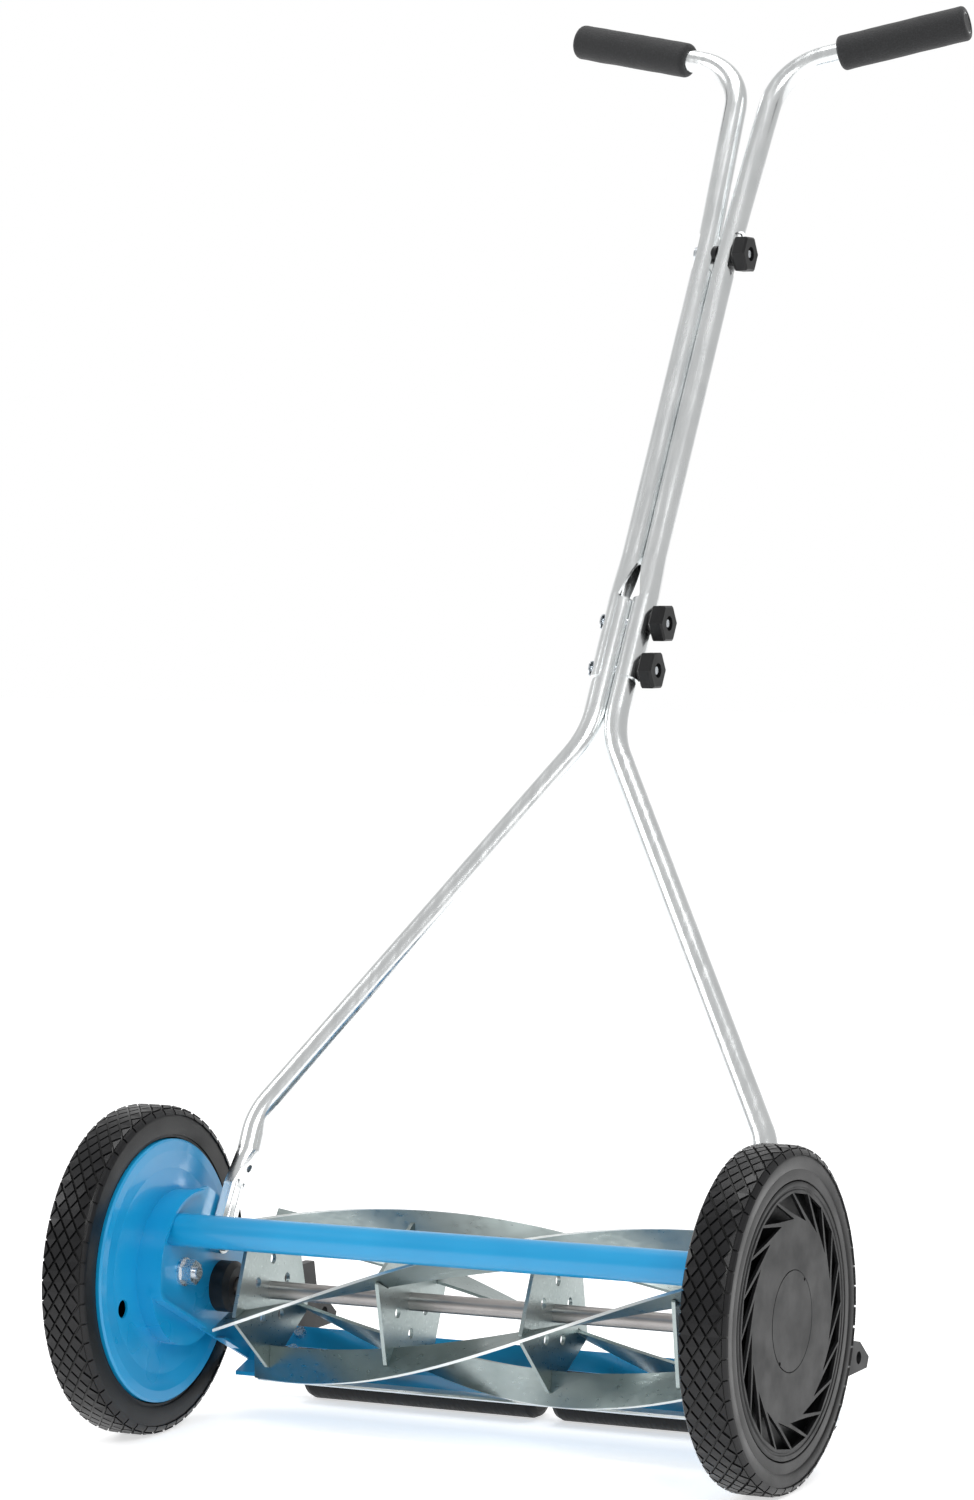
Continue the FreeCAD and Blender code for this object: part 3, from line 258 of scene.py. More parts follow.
def blue_enamel():
    """Electrostatic gloss enamel on pressed steel: even blue with a slight orange-peel ripple."""
    finish, tree = new_finish("gloss_blue_enamel")
    place = add(tree, "ShaderNodeTexCoord", out="Object")
    drift = add(
        tree,
        "ShaderNodeTexNoise",
        {"Vector": place, "Scale": 1 / (60 * MM), "Detail": 2.0},
        out="Fac",
    )
    peel = add(
        tree,
        "ShaderNodeTexNoise",
        {"Vector": place, "Scale": 1 / (2.2 * MM), "Detail": 1.0},
        out="Fac",
    )
    shade = add(
        tree,
        "ShaderNodeMix",
        {"Factor_Float": drift, "A_Color": colour("#0287bd"), "B_Color": colour("#129acf")},
        "Result_Color",
        data_type="RGBA",
    )
    gloss = add(
        tree,
        "ShaderNodeMapRange",
        {"Value": drift, "From Min": NOISE_LOW, "From Max": NOISE_HIGH, "To Min": 0.26, "To Max": 0.36},
    )
    ripple = add(tree, "ShaderNodeBump", {"Height": peel, "Distance": 0.035 * MM, "Strength": 0.6})
    body = {
        "Base Color": shade,
        "Roughness": gloss,
        "Normal": ripple,
        "Coat Weight": 0.3,
        "Coat Roughness": 0.08,
    }
    add(tree, "ShaderNodeOutputMaterial", {"Surface": add(tree, "ShaderNodeBsdfPrincipled", body)})
    return finish


def strip_steel():
    """Hardened strip of blades and spiders: grey-green, drawn lengthways, with a painted highlight along
    the ground rim of the blades.
    """
    finish, tree = new_finish("hardened_strip_steel")
    place = add(tree, "ShaderNodeTexCoord", out="Object")
    drawn = add(tree, "ShaderNodeMapping", {"Vector": place, "Scale": (0.12, 1.0, 1.0)})
    streak = add(
        tree,
        "ShaderNodeTexNoise",
        {"Vector": drawn, "Scale": 1 / (2.4 * MM), "Detail": 4.0},
        out="Fac",
    )
    patch = add(
        tree,
        "ShaderNodeTexNoise",
        {"Vector": place, "Scale": 1 / (45 * MM), "Detail": 3.0},
        out="Fac",
    )
    body_shade = add(
        tree,
        "ShaderNodeMix",
        {"Factor_Float": patch, "A_Color": colour("#84918f"), "B_Color": colour("#b2bbba")},
        "Result_Color",
        data_type="RGBA",
    )
    # Painted highlight: the outermost band of each blade, measured from the reel axis, is mixed to near
    # white.
    from_axis = add(tree, "ShaderNodeVectorMath", {0: place, 1: REEL_AXIS}, operation="SUBTRACT")
    square_on = add(tree, "ShaderNodeVectorMath", {0: from_axis, 1: (0, 1, 1)}, operation="MULTIPLY")
    distance = add(tree, "ShaderNodeVectorMath", {0: square_on}, "Value", operation="LENGTH")
    rim_highlight = add(
        tree,
        "ShaderNodeMapRange",
        {"Value": distance, "From Min": BLADE_TIP - 0.6 * MM, "From Max": BLADE_TIP - 0.3 * MM},
    )
    shade = add(
        tree,
        "ShaderNodeMix",
        {"Factor_Float": rim_highlight, "A_Color": body_shade, "B_Color": colour("#e4e8e7")},
        "Result_Color",
        data_type="RGBA",
    )
    dull = add(
        tree,
        "ShaderNodeMapRange",
        {"Value": streak, "From Min": NOISE_LOW, "From Max": NOISE_HIGH, "To Min": 0.26, "To Max": 0.42},
    )
    skin = add(tree, "ShaderNodeBump", {"Height": streak, "Distance": 0.03 * MM, "Strength": 0.5})
    body = {"Base Color": shade, "Roughness": dull, "Normal": skin, "Metallic": 1.0}
    add(tree, "ShaderNodeOutputMaterial", {"Surface": add(tree, "ShaderNodeBsdfPrincipled", body)})
    return finish


def turned_steel():
    """Turned shaft steel: warm grey with fine tool rings round it."""
    finish, tree = new_finish("turned_steel")
    place = add(tree, "ShaderNodeTexCoord", out="Object")
    round_it = add(tree, "ShaderNodeMapping", {"Vector": place, "Scale": (1.0, 0.02, 0.02)})
    ring = add(
        tree,
        "ShaderNodeTexNoise",
        {"Vector": round_it, "Scale": 1 / (1.2 * MM), "Detail": 3.0},
        out="Fac",
    )
    patch = add(
        tree,
        "ShaderNodeTexNoise",
        {"Vector": place, "Scale": 1 / (30 * MM), "Detail": 3.0},
        out="Fac",
    )
    shade = add(
        tree,
        "ShaderNodeMix",
        {"Factor_Float": patch, "A_Color": colour("#8f8b89"), "B_Color": colour("#b3afad")},
        "Result_Color",
        data_type="RGBA",
    )
    dull = add(
        tree,
        "ShaderNodeMapRange",
        {"Value": ring, "From Min": NOISE_LOW, "From Max": NOISE_HIGH, "To Min": 0.28, "To Max": 0.42},
    )
    skin = add(tree, "ShaderNodeBump", {"Height": ring, "Distance": 0.03 * MM, "Strength": 0.5})
    body = {"Base Color": shade, "Roughness": dull, "Normal": skin, "Metallic": 1.0}
    add(tree, "ShaderNodeOutputMaterial", {"Surface": add(tree, "ShaderNodeBsdfPrincipled", body)})
    return finish


def blackened_steel():
    """Oil-blackened steel of the bearing cups and cones: nearly black with a dull metal shine."""
    finish, tree = new_finish("oil_blackened_steel")
    place = add(tree, "ShaderNodeTexCoord", out="Object")
    patch = add(
        tree,
        "ShaderNodeTexNoise",
        {"Vector": place, "Scale": 1 / (8 * MM), "Detail": 4.0},
        out="Fac",
    )
    shade = add(
        tree,
        "ShaderNodeMix",
        {"Factor_Float": patch, "A_Color": colour("#2a2b2c"), "B_Color": colour("#4a4b4c")},
        "Result_Color",
        data_type="RGBA",
    )
    dull = add(
        tree,
        "ShaderNodeMapRange",
        {"Value": patch, "From Min": NOISE_LOW, "From Max": NOISE_HIGH, "To Min": 0.38, "To Max": 0.55},
    )
    skin = add(tree, "ShaderNodeBump", {"Height": patch, "Distance": 0.04 * MM, "Strength": 0.5})
    body = {"Base Color": shade, "Roughness": dull, "Normal": skin, "Metallic": 1.0}
    add(tree, "ShaderNodeOutputMaterial", {"Surface": add(tree, "ShaderNodeBsdfPrincipled", body)})
    return finish


def bright_tube():
    """Bright zinc-plated steel tube: silvery, with faint grey streaks along its length."""
    finish, tree = new_finish("bright_zinc_tube")
    place = add(tree, "ShaderNodeTexCoord", out="Object")
    along = add(tree, "ShaderNodeMapping", {"Vector": place, "Scale": (1.0, 0.1, 0.06)})
    streak = add(
        tree,
        "ShaderNodeTexNoise",
        {"Vector": along, "Scale": 1 / (5 * MM), "Detail": 4.0},
        out="Fac",
    )
    blush = add(
        tree,
        "ShaderNodeTexNoise",
        {"Vector": place, "Scale": 1 / (25 * MM), "Detail": 3.0},
        out="Fac",
    )
    shade = add(
        tree,
        "ShaderNodeMix",
        {"Factor_Float": blush, "A_Color": colour("#e2e5e6"), "B_Color": colour("#f8fafa")},
        "Result_Color",
        data_type="RGBA",
    )
    dull = add(
        tree,
        "ShaderNodeMapRange",
        {"Value": streak, "From Min": NOISE_LOW, "From Max": NOISE_HIGH, "To Min": 0.16, "To Max": 0.3},
    )
    skin = add(tree, "ShaderNodeBump", {"Height": streak, "Distance": 0.05 * MM, "Strength": 0.4})
    body = {"Base Color": shade, "Roughness": dull, "Normal": skin, "Metallic": 1.0}
    add(tree, "ShaderNodeOutputMaterial", {"Surface": add(tree, "ShaderNodeBsdfPrincipled", body)})
    return finish


def zinc_fastener():
    """Zinc-plated fasteners: bright, a little blue, spangled in small patches."""
    finish, tree = new_finish("zinc_plated_fastener")
    place = add(tree, "ShaderNodeTexCoord", out="Object")
    spangle = add(
        tree,
        "ShaderNodeTexVoronoi",
        {"Vector": place, "Scale": 1 / (1.8 * MM)},
        out="Distance",
    )
    grain = add(
        tree,
        "ShaderNodeTexNoise",
        {"Vector": place, "Scale": 1 / (0.9 * MM), "Detail": 3.0},
        out="Fac",
    )
    shade = add(
        tree,
        "ShaderNodeMix",
        {"Factor_Float": spangle, "A_Color": colour("#c4cacf"), "B_Color": colour("#e6eaee")},
        "Result_Color",
        data_type="RGBA",
    )
    dull = add(
        tree,
        "ShaderNodeMapRange",
        {"Value": spangle, "From Max": 0.8, "To Min": 0.18, "To Max": 0.32},
    )
    skin = add(tree, "ShaderNodeBump", {"Height": grain, "Distance": 0.02 * MM})
    body = {"Base Color": shade, "Roughness": dull, "Normal": skin, "Metallic": 1.0}
    add(tree, "ShaderNodeOutputMaterial", {"Surface": add(tree, "ShaderNodeBsdfPrincipled", body)})
    return finish


def foam_rubber():
    """Closed-cell foam sleeve: soft black, dull, with small open pores in its skin, each painted darker
    towards its centre as painted shade in the pore.

    The real pores are about 0.4 mm. They are drawn at 1.1 mm so that they show.
    """
    finish, tree = new_finish("closed_cell_foam")
    place = add(tree, "ShaderNodeTexCoord", out="Object")
    pores_and_pore_shade = add(tree, "ShaderNodeTexVoronoi", {"Vector": place, "Scale": 1 / (1.1 * MM)}, out="Distance")
    # Painted shade: each pore is darkest at its centre, where the bump also sinks it.
    shade = add(
        tree,
        "ShaderNodeMix",
        {"Factor_Float": pores_and_pore_shade, "A_Color": colour("#0a0a0b"), "B_Color": colour("#222325")},
        "Result_Color",
        data_type="RGBA",
    )
    skin = add(tree, "ShaderNodeBump", {"Height": pores_and_pore_shade, "Distance": 0.3 * MM, "Strength": 0.8})
    body = {
        "Base Color": shade,
        "Roughness": 0.85,
        "Normal": skin,
        "Sheen Weight": 0.15,
        "Sheen Roughness": 0.5,
    }
    add(tree, "ShaderNodeOutputMaterial", {"Surface": add(tree, "ShaderNodeBsdfPrincipled", body)})
    return finish


def studio_paper():
    """White paper sweep under soft lamps, glowing a little so that it stays white to its edge."""
    finish, tree = new_finish("studio_paper")
    body = {
        "Base Color": colour("#e8e8e8"),
        "Roughness": 0.9,
        "Emission Color": colour("#ffffff"),
        "Emission Strength": 0.62,
    }
    add(tree, "ShaderNodeOutputMaterial", {"Surface": add(tree, "ShaderNodeBsdfPrincipled", body)})
    return finish


finishes = {
    "tyre_rubber": moulded_rubber("moulded_tyre_rubber", "#040405", "#0e0e0f"),
    "black_plastic": grained_plastic(),
    "nylon": natural_nylon(),
    "blue_paint": blue_enamel(),
    "blade_steel": strip_steel(),
    "shaft_steel": turned_steel(),
    "handle_tube": bright_tube(),
    "zinc_plate": zinc_fastener(),
    "foam": foam_rubber(),
}


# Painted light: the tread blocks take a lighter copy of the tyre rubber than the carcass under them, so the
# grooves between the blocks read as painted shade.
lit_tread_rubber = moulded_rubber("tread_rubber_painted_lighter", "#0c0c0d", "#1a1a1c")


def dress_cad_nodes():
    """Each CAD node gets the finish of its slot; rollers and bearings have their own."""
    waxy = roller_plastic()
    blackened = blackened_steel()
    special = {
        "roller_left": waxy,
        "roller_right": waxy,
        "bearing_cup_left": blackened,
        "bearing_cup_right": blackened,
        "bearing_cones": blackened,
    }
    for name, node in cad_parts.items():
        for place in node.material_slots:
            place.material = special.get(name, finishes[place.material.name])


# ---- mesh helpers ----
def host_for(name, data):
    """A new object in the scene that holds this mesh, lamp or camera."""
    host = bpy.data.objects.new(name, data)
    bpy.context.scene.collection.objects.link(host)
    return host


def new_piece(name, mesh, slot, body):
    """A finished piece that takes a slot's finish and rides on a body."""
    piece = host_for(name, mesh)
    if not mesh.materials:
        mesh.materials.append(finishes[slot])
    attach(piece, body)
    return piece


def turned_mesh(name, profile, segments, seat, smooth_angle=35):
    """A ring about the seat's X axis from a closed (x, radius) profile."""
    mesh = bpy.data.meshes.new(name)
    build = bmesh.new()
    rings = []
    for segment in range(segments):
        angle = 2 * math.pi * segment / segments
        across, up = math.cos(angle), math.sin(angle)
        rings.append([build.verts.new(seat @ Vector((x, r * across, r * up))) for x, r in profile])
    count = len(profile)
    for segment in range(segments):
        here, there = rings[segment], rings[(segment + 1) % segments]
        for point in range(count):
            following = (point + 1) % count
            build.faces.new((here[point], here[following], there[following], there[point]))
    bmesh.ops.recalc_face_normals(build, faces=build.faces)
    for face in build.faces:
        face.smooth = True
    build.to_mesh(mesh)
    build.free()
    mesh.set_sharp_from_angle(angle=math.radians(smooth_angle))
    return mesh


def kept_mesh(name, host):
    """What the host's modifiers make, as a plain mesh; the host itself goes."""
    bpy.context.view_layer.update()
    evaluated = host.evaluated_get(bpy.context.evaluated_depsgraph_get())
    mesh = bpy.data.meshes.new_from_object(evaluated)
    bpy.data.objects.remove(host)
    mesh.name = name
    return mesh


# ---- tyres ----
TREAD_DEPTH = 2.0 * MM
TREAD_SINK = 0.3 * MM
SHOULDER = 7.0 * MM
BLOCKS_ROUND = 50
BLOCK_PITCH = 10.4 * MM
GROOVE = 1.45 * MM
DIAMOND_SLANT = 0.84
SLIT_SHARE = 0.11
BEAD_INSIDE = 105.0 * MM
BEAD_OUTSIDE = 101.7 * MM
BEAD_THICKNESS = 2.9 * MM
CORNER_STEPS = 10
TYRE_SEGMENTS = 180


def tyre_profile(middle, outward):
    """Closed section of a tyre without its tread, from the bead up and over the crown."""
    half = TYRE_WIDTH / 2
    base = WHEEL_RADIUS - TREAD_DEPTH
    points = [(-half + 0.3 * MM, BEAD_INSIDE), (-half, BEAD_INSIDE + 2 * MM), (-half, BEAD_INSIDE + 8 * MM)]
    for step in range(CORNER_STEPS + 1):
        angle = math.pi / 2 * step / CORNER_STEPS
        points.append((-half + SHOULDER * (1 - math.cos(angle)), base - SHOULDER * (1 - math.sin(angle))))
    for step in range(CORNER_STEPS + 1):
        angle = math.pi / 2 * (1 - step / CORNER_STEPS)
        points.append((half - SHOULDER * (1 - math.cos(angle)), base - SHOULDER * (1 - math.sin(angle))))
    points += [
        (half, BEAD_OUTSIDE + 9.5 * MM),
        (half - 0.8 * MM, BEAD_OUTSIDE + 8.3 * MM),
        (half - 0.4 * MM, BEAD_OUTSIDE + 4.0 * MM),
        (half - 0.6 * MM, BEAD_OUTSIDE + 0.5 * MM),
        (half - 1.2 * MM, BEAD_OUTSIDE),
        (half - BEAD_THICKNESS, BEAD_OUTSIDE),
        (half - BEAD_THICKNESS, BEAD_INSIDE),
    ]
    return [(middle + outward * x, r) for x, r in points]


TREAD_INPUTS = {
    "Blocks Round": "NodeSocketInt",
    "Turn": "NodeSocketFloat",
    "Full Round": "NodeSocketFloat",
    "Pitch": "NodeSocketFloat",
    "Edge Reach": "NodeSocketFloat",
    "Pad Reach": "NodeSocketFloat",
    "Block Size": "NodeSocketVector",
    "Edge Size": "NodeSocketVector",
    "Pad Size": "NodeSocketVector",
    "Base Radius": "NodeSocketFloat",
    "Half Width": "NodeSocketFloat",
    "Shoulder": "NodeSocketFloat",
    "Sink": "NodeSocketFloat",
    "Middle": "NodeSocketVector",
    "Rubber": "NodeSocketMaterial",
}


def tread_tree():
    """Diamond blocks, edge blocks and shoulder pads laid flat, then wrapped over the tyre."""
    tree = bpy.data.node_groups.new("tread_blocks", "GeometryNodeTree")
    tree.is_modifier = True
    tree.interface.new_socket("Geometry", in_out="OUTPUT", socket_type="NodeSocketGeometry")
    for name, kind in TREAD_INPUTS.items():
        tree.interface.new_socket(name, in_out="INPUT", socket_type=kind)
    given = tree.nodes.new("NodeGroupInput").outputs

    # Flat layout: across the tread is X in metres, round the tyre is Y in radians.
    double_pitch = add(tree, "ShaderNodeMath", {0: given["Pitch"], 1: 2.0}, operation="MULTIPLY")
    half_turn = add(tree, "ShaderNodeMath", {0: given["Turn"], 1: 0.5}, operation="MULTIPLY")
    down = add(tree, "ShaderNodeMath", {0: given["Sink"], 1: -1.0}, operation="MULTIPLY")
    in_line = add(tree, "ShaderNodeCombineXYZ", {"Z": down})
    staggered = add(tree, "ShaderNodeCombineXYZ", {"Y": half_turn, "Z": down})
    rows = []
    for size, count, shift in (
        (double_pitch, 3, in_line),
        (given["Pitch"], 2, staggered),
        (given["Edge Reach"], 2, staggered),
        (given["Pad Reach"], 2, staggered),
    ):
        grid = add(
            tree,
            "GeometryNodeMeshGrid",
            {
                "Size X": size,
                "Size Y": given["Full Round"],
                "Vertices X": count,
                "Vertices Y": given["Blocks Round"],
            },
        )
        rows.append(add(tree, "GeometryNodeTransform", {"Geometry": grid, "Translation": shift}))
    diamond = add(tree, "GeometryNodeMeshCone", {"Vertices": 4, "Radius Top": 0.95, "Depth": 1.0})
    wedge = add(tree, "GeometryNodeMeshCone", {"Vertices": 3, "Radius Top": 0.95, "Depth": 1.0})
    pad = add(tree, "GeometryNodeMeshCube", {"Size": (1.0, 1.0, 1.0), "Vertices X": 4})
    spot = add(tree, "GeometryNodeInputPosition")
    across = add(tree, "ShaderNodeSeparateXYZ", {"Vector": spot}, "X")
    right_side = add(tree, "ShaderNodeMath", {0: across, 1: 0.0}, operation="GREATER_THAN")
    half_way_round = add(tree, "ShaderNodeMath", {0: right_side, 1: math.pi}, operation="MULTIPLY")
    tips_inward = add(tree, "ShaderNodeCombineXYZ", {"Z": half_way_round})
    layers = [
        {"Points": rows[0], "Instance": diamond, "Scale": given["Block Size"]},
        {"Points": rows[1], "Instance": diamond, "Scale": given["Block Size"]},
        {"Points": rows[2], "Instance": wedge, "Scale": given["Edge Size"], "Rotation": tips_inward},
        {"Points": rows[3], "Instance": pad, "Scale": given["Pad Size"]},
    ]
    sets = [add(tree, "GeometryNodeInstanceOnPoints", layer) for layer in layers]
    joined = add(tree, "GeometryNodeJoinGeometry", {"Geometry": sets})
    flat = add(tree, "GeometryNodeRealizeInstances", {"Geometry": joined})

    # Wrap: straight over the crown, then round the shoulder's arc.
    x = add(tree, "ShaderNodeSeparateXYZ", {"Vector": spot}, "X")
    around = add(tree, "ShaderNodeSeparateXYZ", {"Vector": spot}, "Y")
    height = add(tree, "ShaderNodeSeparateXYZ", {"Vector": spot}, "Z")
    run = add(tree, "ShaderNodeMath", {0: x}, operation="ABSOLUTE")
    sign = add(tree, "ShaderNodeMath", {0: x}, operation="SIGN")
    level = add(
        tree,
        "ShaderNodeMath",
        {0: given["Half Width"], 1: given["Shoulder"]},
        operation="SUBTRACT",
    )
    over = add(tree, "ShaderNodeMath", {0: run, 1: level}, operation="SUBTRACT")
    past = add(tree, "ShaderNodeMath", {0: over, 1: 0.0}, operation="MAXIMUM")
    lean = add(tree, "ShaderNodeMath", {0: past, 1: given["Shoulder"]}, operation="DIVIDE")
    lean_sine = add(tree, "ShaderNodeMath", {0: lean}, operation="SINE")
    lean_cosine = add(tree, "ShaderNodeMath", {0: lean}, operation="COSINE")
    reach = add(tree, "ShaderNodeMath", {0: given["Shoulder"], 1: height}, operation="ADD")
    on_crown = add(tree, "ShaderNodeMath", {0: run, 1: level}, operation="MINIMUM")
    out_x = add(tree, "ShaderNodeMath", {0: reach, 1: lean_sine, 2: on_crown}, operation="MULTIPLY_ADD")
    arc_centre = add(
        tree,
        "ShaderNodeMath",
        {0: given["Base Radius"], 1: given["Shoulder"]},
        operation="SUBTRACT",
    )
    radius = add(
        tree,
        "ShaderNodeMath",
        {0: reach, 1: lean_cosine, 2: arc_centre},
        operation="MULTIPLY_ADD",
    )
    side_x = add(tree, "ShaderNodeMath", {0: out_x, 1: sign}, operation="MULTIPLY")
    cosine = add(tree, "ShaderNodeMath", {0: around}, operation="COSINE")
    sine = add(tree, "ShaderNodeMath", {0: around}, operation="SINE")
    back = add(tree, "ShaderNodeMath", {0: radius, 1: cosine}, operation="MULTIPLY")
    up = add(tree, "ShaderNodeMath", {0: radius, 1: sine}, operation="MULTIPLY")
    wrapped = add(tree, "ShaderNodeCombineXYZ", {"X": side_x, "Y": back, "Z": up})
    placed = add(tree, "ShaderNodeVectorMath", {0: wrapped, 1: given["Middle"]}, operation="ADD")
    round_tyre = add(tree, "GeometryNodeSetPosition", {"Geometry": flat, "Position": placed})
    whole = add(tree, "GeometryNodeRealizeInstances", {"Geometry": round_tyre})
    dressed = add(tree, "GeometryNodeSetMaterial", {"Geometry": whole, "Material": given["Rubber"]})
    add(tree, "NodeGroupOutput", {"Geometry": dressed})
    return tree


def grown_mesh(name, tree, inputs):
    """Run a geometry node tree once and keep what it makes."""
    host = host_for(name, bpy.data.meshes.new(f"{name}_seed"))
    grower = host.modifiers.new("grow", "NODES")
    grower.node_group = tree
    for item in tree.interface.items_tree:
        if item.item_type == "SOCKET" and item.in_out == "INPUT":
            grower[item.identifier] = inputs[item.name]
    return kept_mesh(name, host)


def tread_sizes(middle):
    """The tread tree's inputs for a tyre whose middle is at this x."""
    turn = 2 * math.pi / BLOCKS_ROUND
    shrink = 1 - GROOVE / (BLOCK_PITCH * DIAMOND_SLANT)
    rise = TREAD_DEPTH + TREAD_SINK
    edge = BLOCK_PITCH * 1.5
    wedge_base = edge - 0.3 * MM
    wedge_reach = (wedge_base - BLOCK_PITCH - GROOVE) / 1.5
    pad_low, pad_high = edge + 0.2 * MM, edge + 4.6 * MM
    return {
        "Blocks Round": BLOCKS_ROUND,
        "Turn": turn,
        "Full Round": turn * (BLOCKS_ROUND - 1),
        "Pitch": BLOCK_PITCH,
        "Edge Reach": 2 * (wedge_base - wedge_reach / 2),
        "Pad Reach": pad_low + pad_high,
        "Block Size": (BLOCK_PITCH / 2 * shrink, turn / 2 * shrink, rise),
        "Edge Size": (wedge_reach, turn / 2 * shrink / math.sin(math.pi / 3), rise),
        "Pad Size": (pad_high - pad_low, turn * (1 - SLIT_SHARE), TREAD_SINK * 2 + TREAD_DEPTH * 1.2),
        "Base Radius": WHEEL_RADIUS - TREAD_DEPTH,
        "Half Width": TYRE_WIDTH / 2,
        "Shoulder": SHOULDER,
        "Sink": TREAD_SINK,
        "Middle": Vector((middle, 0, AXLE_HEIGHT)),
        "Rubber": lit_tread_rubber,
    }


def make_tyres():
    tree = tread_tree()
    seat = Matrix.Translation((0, 0, AXLE_HEIGHT))
    for side, sign in SIDES.items():
        middle = middle_of(f"tyre_{side}").x
        carcass = turned_mesh(f"tyre_carcass_{side}", tyre_profile(middle, sign), TYRE_SEGMENTS, seat)
        body = new_piece(f"tyre_carcass_{side}", carcass, "tyre_rubber", f"wheel_{side}")
        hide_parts(f"tyre_{side}")
        tread = grown_mesh(f"tyre_tread_{side}", tree, tread_sizes(middle))
        new_piece(f"tyre_tread_{side}", tread, "tyre_rubber", f"wheel_{side}")


# ---- wheel covers ----
VENTS = 20
# Corners of one vent: radius in millimetres, and lead in vent steps.
VENT_CORNERS = ((93.0, 0.0), (93.0, 0.90), (79.0, 0.04), (74.0, -1.15))
COVER_WALL = 2.5 * MM
COVER_BORE = 8.0 * MM
COVER_SKIRT = 6.5 * MM
SKIRT_WALL = 2.0 * MM
CAP_SEAT_DEPTH = 1.3 * MM
RING_LOW, RING_HIGH = 95.0 * MM, 97.0 * MM
COVER_SEGMENTS = 160


def cover_profile():
    """Closed section of a wheel cover, x measured inwards from its face."""
    seat = CENTRE_CAP_RADIUS + 0.4 * MM
    return [
        (COVER_WALL, COVER_BORE),
        (CAP_SEAT_DEPTH, COVER_BORE),
        (CAP_SEAT_DEPTH, seat),
        (0.5 * MM, seat),
        (0.0, seat + 0.5 * MM),
        (0.0, RING_LOW - 0.4 * MM),
        (0.4 * MM, RING_LOW),
        (0.9 * MM, RING_LOW + 0.4 * MM),
        (0.9 * MM, RING_HIGH - 0.4 * MM),
        (0.3 * MM, RING_HIGH + 0.2 * MM),
        (0.0, CAP_RADIUS - 1.6 * MM),
        (0.5 * MM, CAP_RADIUS - 0.4 * MM),
        (1.4 * MM, CAP_RADIUS),
        (COVER_SKIRT, CAP_RADIUS),
        (COVER_SKIRT, CAP_RADIUS - SKIRT_WALL),
        (COVER_WALL, CAP_RADIUS - SKIRT_WALL),
    ]


def vent_cutters(face, outward, seat):
    """Slanted prisms that leave thin ribs between the vents and a stepped edge inside them."""
    step = 2 * math.pi / VENTS
    build = bmesh.new()
    for vent in range(VENTS):
        ends = []
        for x in (face + outward * 2 * MM, face - outward * (COVER_WALL + 2 * MM)):
            ring = []
            for radius, lead in VENT_CORNERS:
                angle = (vent + lead) * step
                flat = Vector((x, radius * MM * math.cos(angle), radius * MM * math.sin(angle)))
                ring.append(build.verts.new(seat @ flat))
            ends.append(ring)
        build.faces.new(ends[0])
        build.faces.new(list(reversed(ends[1])))
        for corner in range(len(VENT_CORNERS)):
            following = (corner + 1) % len(VENT_CORNERS)
            build.faces.new((ends[0][following], ends[0][corner], ends[1][corner], ends[1][following]))
    bmesh.ops.recalc_face_normals(build, faces=build.faces)
    mesh = bpy.data.meshes.new("vent_cutters")
    build.to_mesh(mesh)
    build.free()
    return mesh


def make_wheel_covers():
    seat = Matrix.Translation((0, 0, AXLE_HEIGHT))
    for side, sign in SIDES.items():
        low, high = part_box(f"hubcap_{side}")
        face = high.x if sign > 0 else low.x
        name = f"wheel_cover_{side}"
        profile = [(face - sign * inward, radius) for inward, radius in cover_profile()]
        host = host_for(name, turned_mesh(name, profile, COVER_SEGMENTS, seat))
        cutter = host_for("cutter", vent_cutters(face, sign, seat))
        cut = host.modifiers.new("vents", "BOOLEAN")
        cut.operation = "DIFFERENCE"
        cut.solver = "EXACT"
        cut.object = cutter
        mesh = kept_mesh(name, host)
        bpy.data.objects.remove(cutter)
        mesh.materials.clear()
        cover = new_piece(name, mesh, "black_plastic", f"wheel_{side}")
        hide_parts(f"hubcap_{side}")


# ---- foam grips ----
TUBE_RADIUS = 9.55 * MM
SLEEVE_END = 4.0 * MM
SLEEVE_SEGMENTS = 64
DENT_SIZE = 14 * MM
DENT_DEPTH = 0.35 * MM


def axis_of(node):
    """Middle, direction, half length and radius of a straight round node."""
    points = np.array([vertex.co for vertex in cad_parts[node].data.vertices])
    middle = (points.min(axis=0) + points.max(axis=0)) / 2
    spread = points - points.mean(axis=0)
    way = np.linalg.svd(spread, full_matrices=False)[2][0]
    run = (points - middle) @ way
    off = np.linalg.norm((points - middle) - np.outer(run, way), axis=1)
    return Vector(middle), Vector(way), (run.max() - run.min()) / 2, off.max()


def sleeve_profile(half, radius):
    """Closed section of a foam sleeve with soft round ends."""
    end = SLEEVE_END
    steps = 6
    runs = 26
    outline = [(-half, TUBE_RADIUS)]
    for step in range(steps + 1):
        angle = math.pi / 2 * step / steps
        outline.append((-half + end * (1 - math.cos(angle)), radius - end * (1 - math.sin(angle))))
    for run in range(1, runs):
        outline.append((-half + end + (2 * half - 2 * end) * run / runs, radius))
    for step in range(steps + 1):
        angle = math.pi / 2 * (1 - step / steps)
        outline.append((half - end * (1 - math.cos(angle)), radius - end * (1 - math.sin(angle))))
    outline.append((half, TUBE_RADIUS))
    return outline


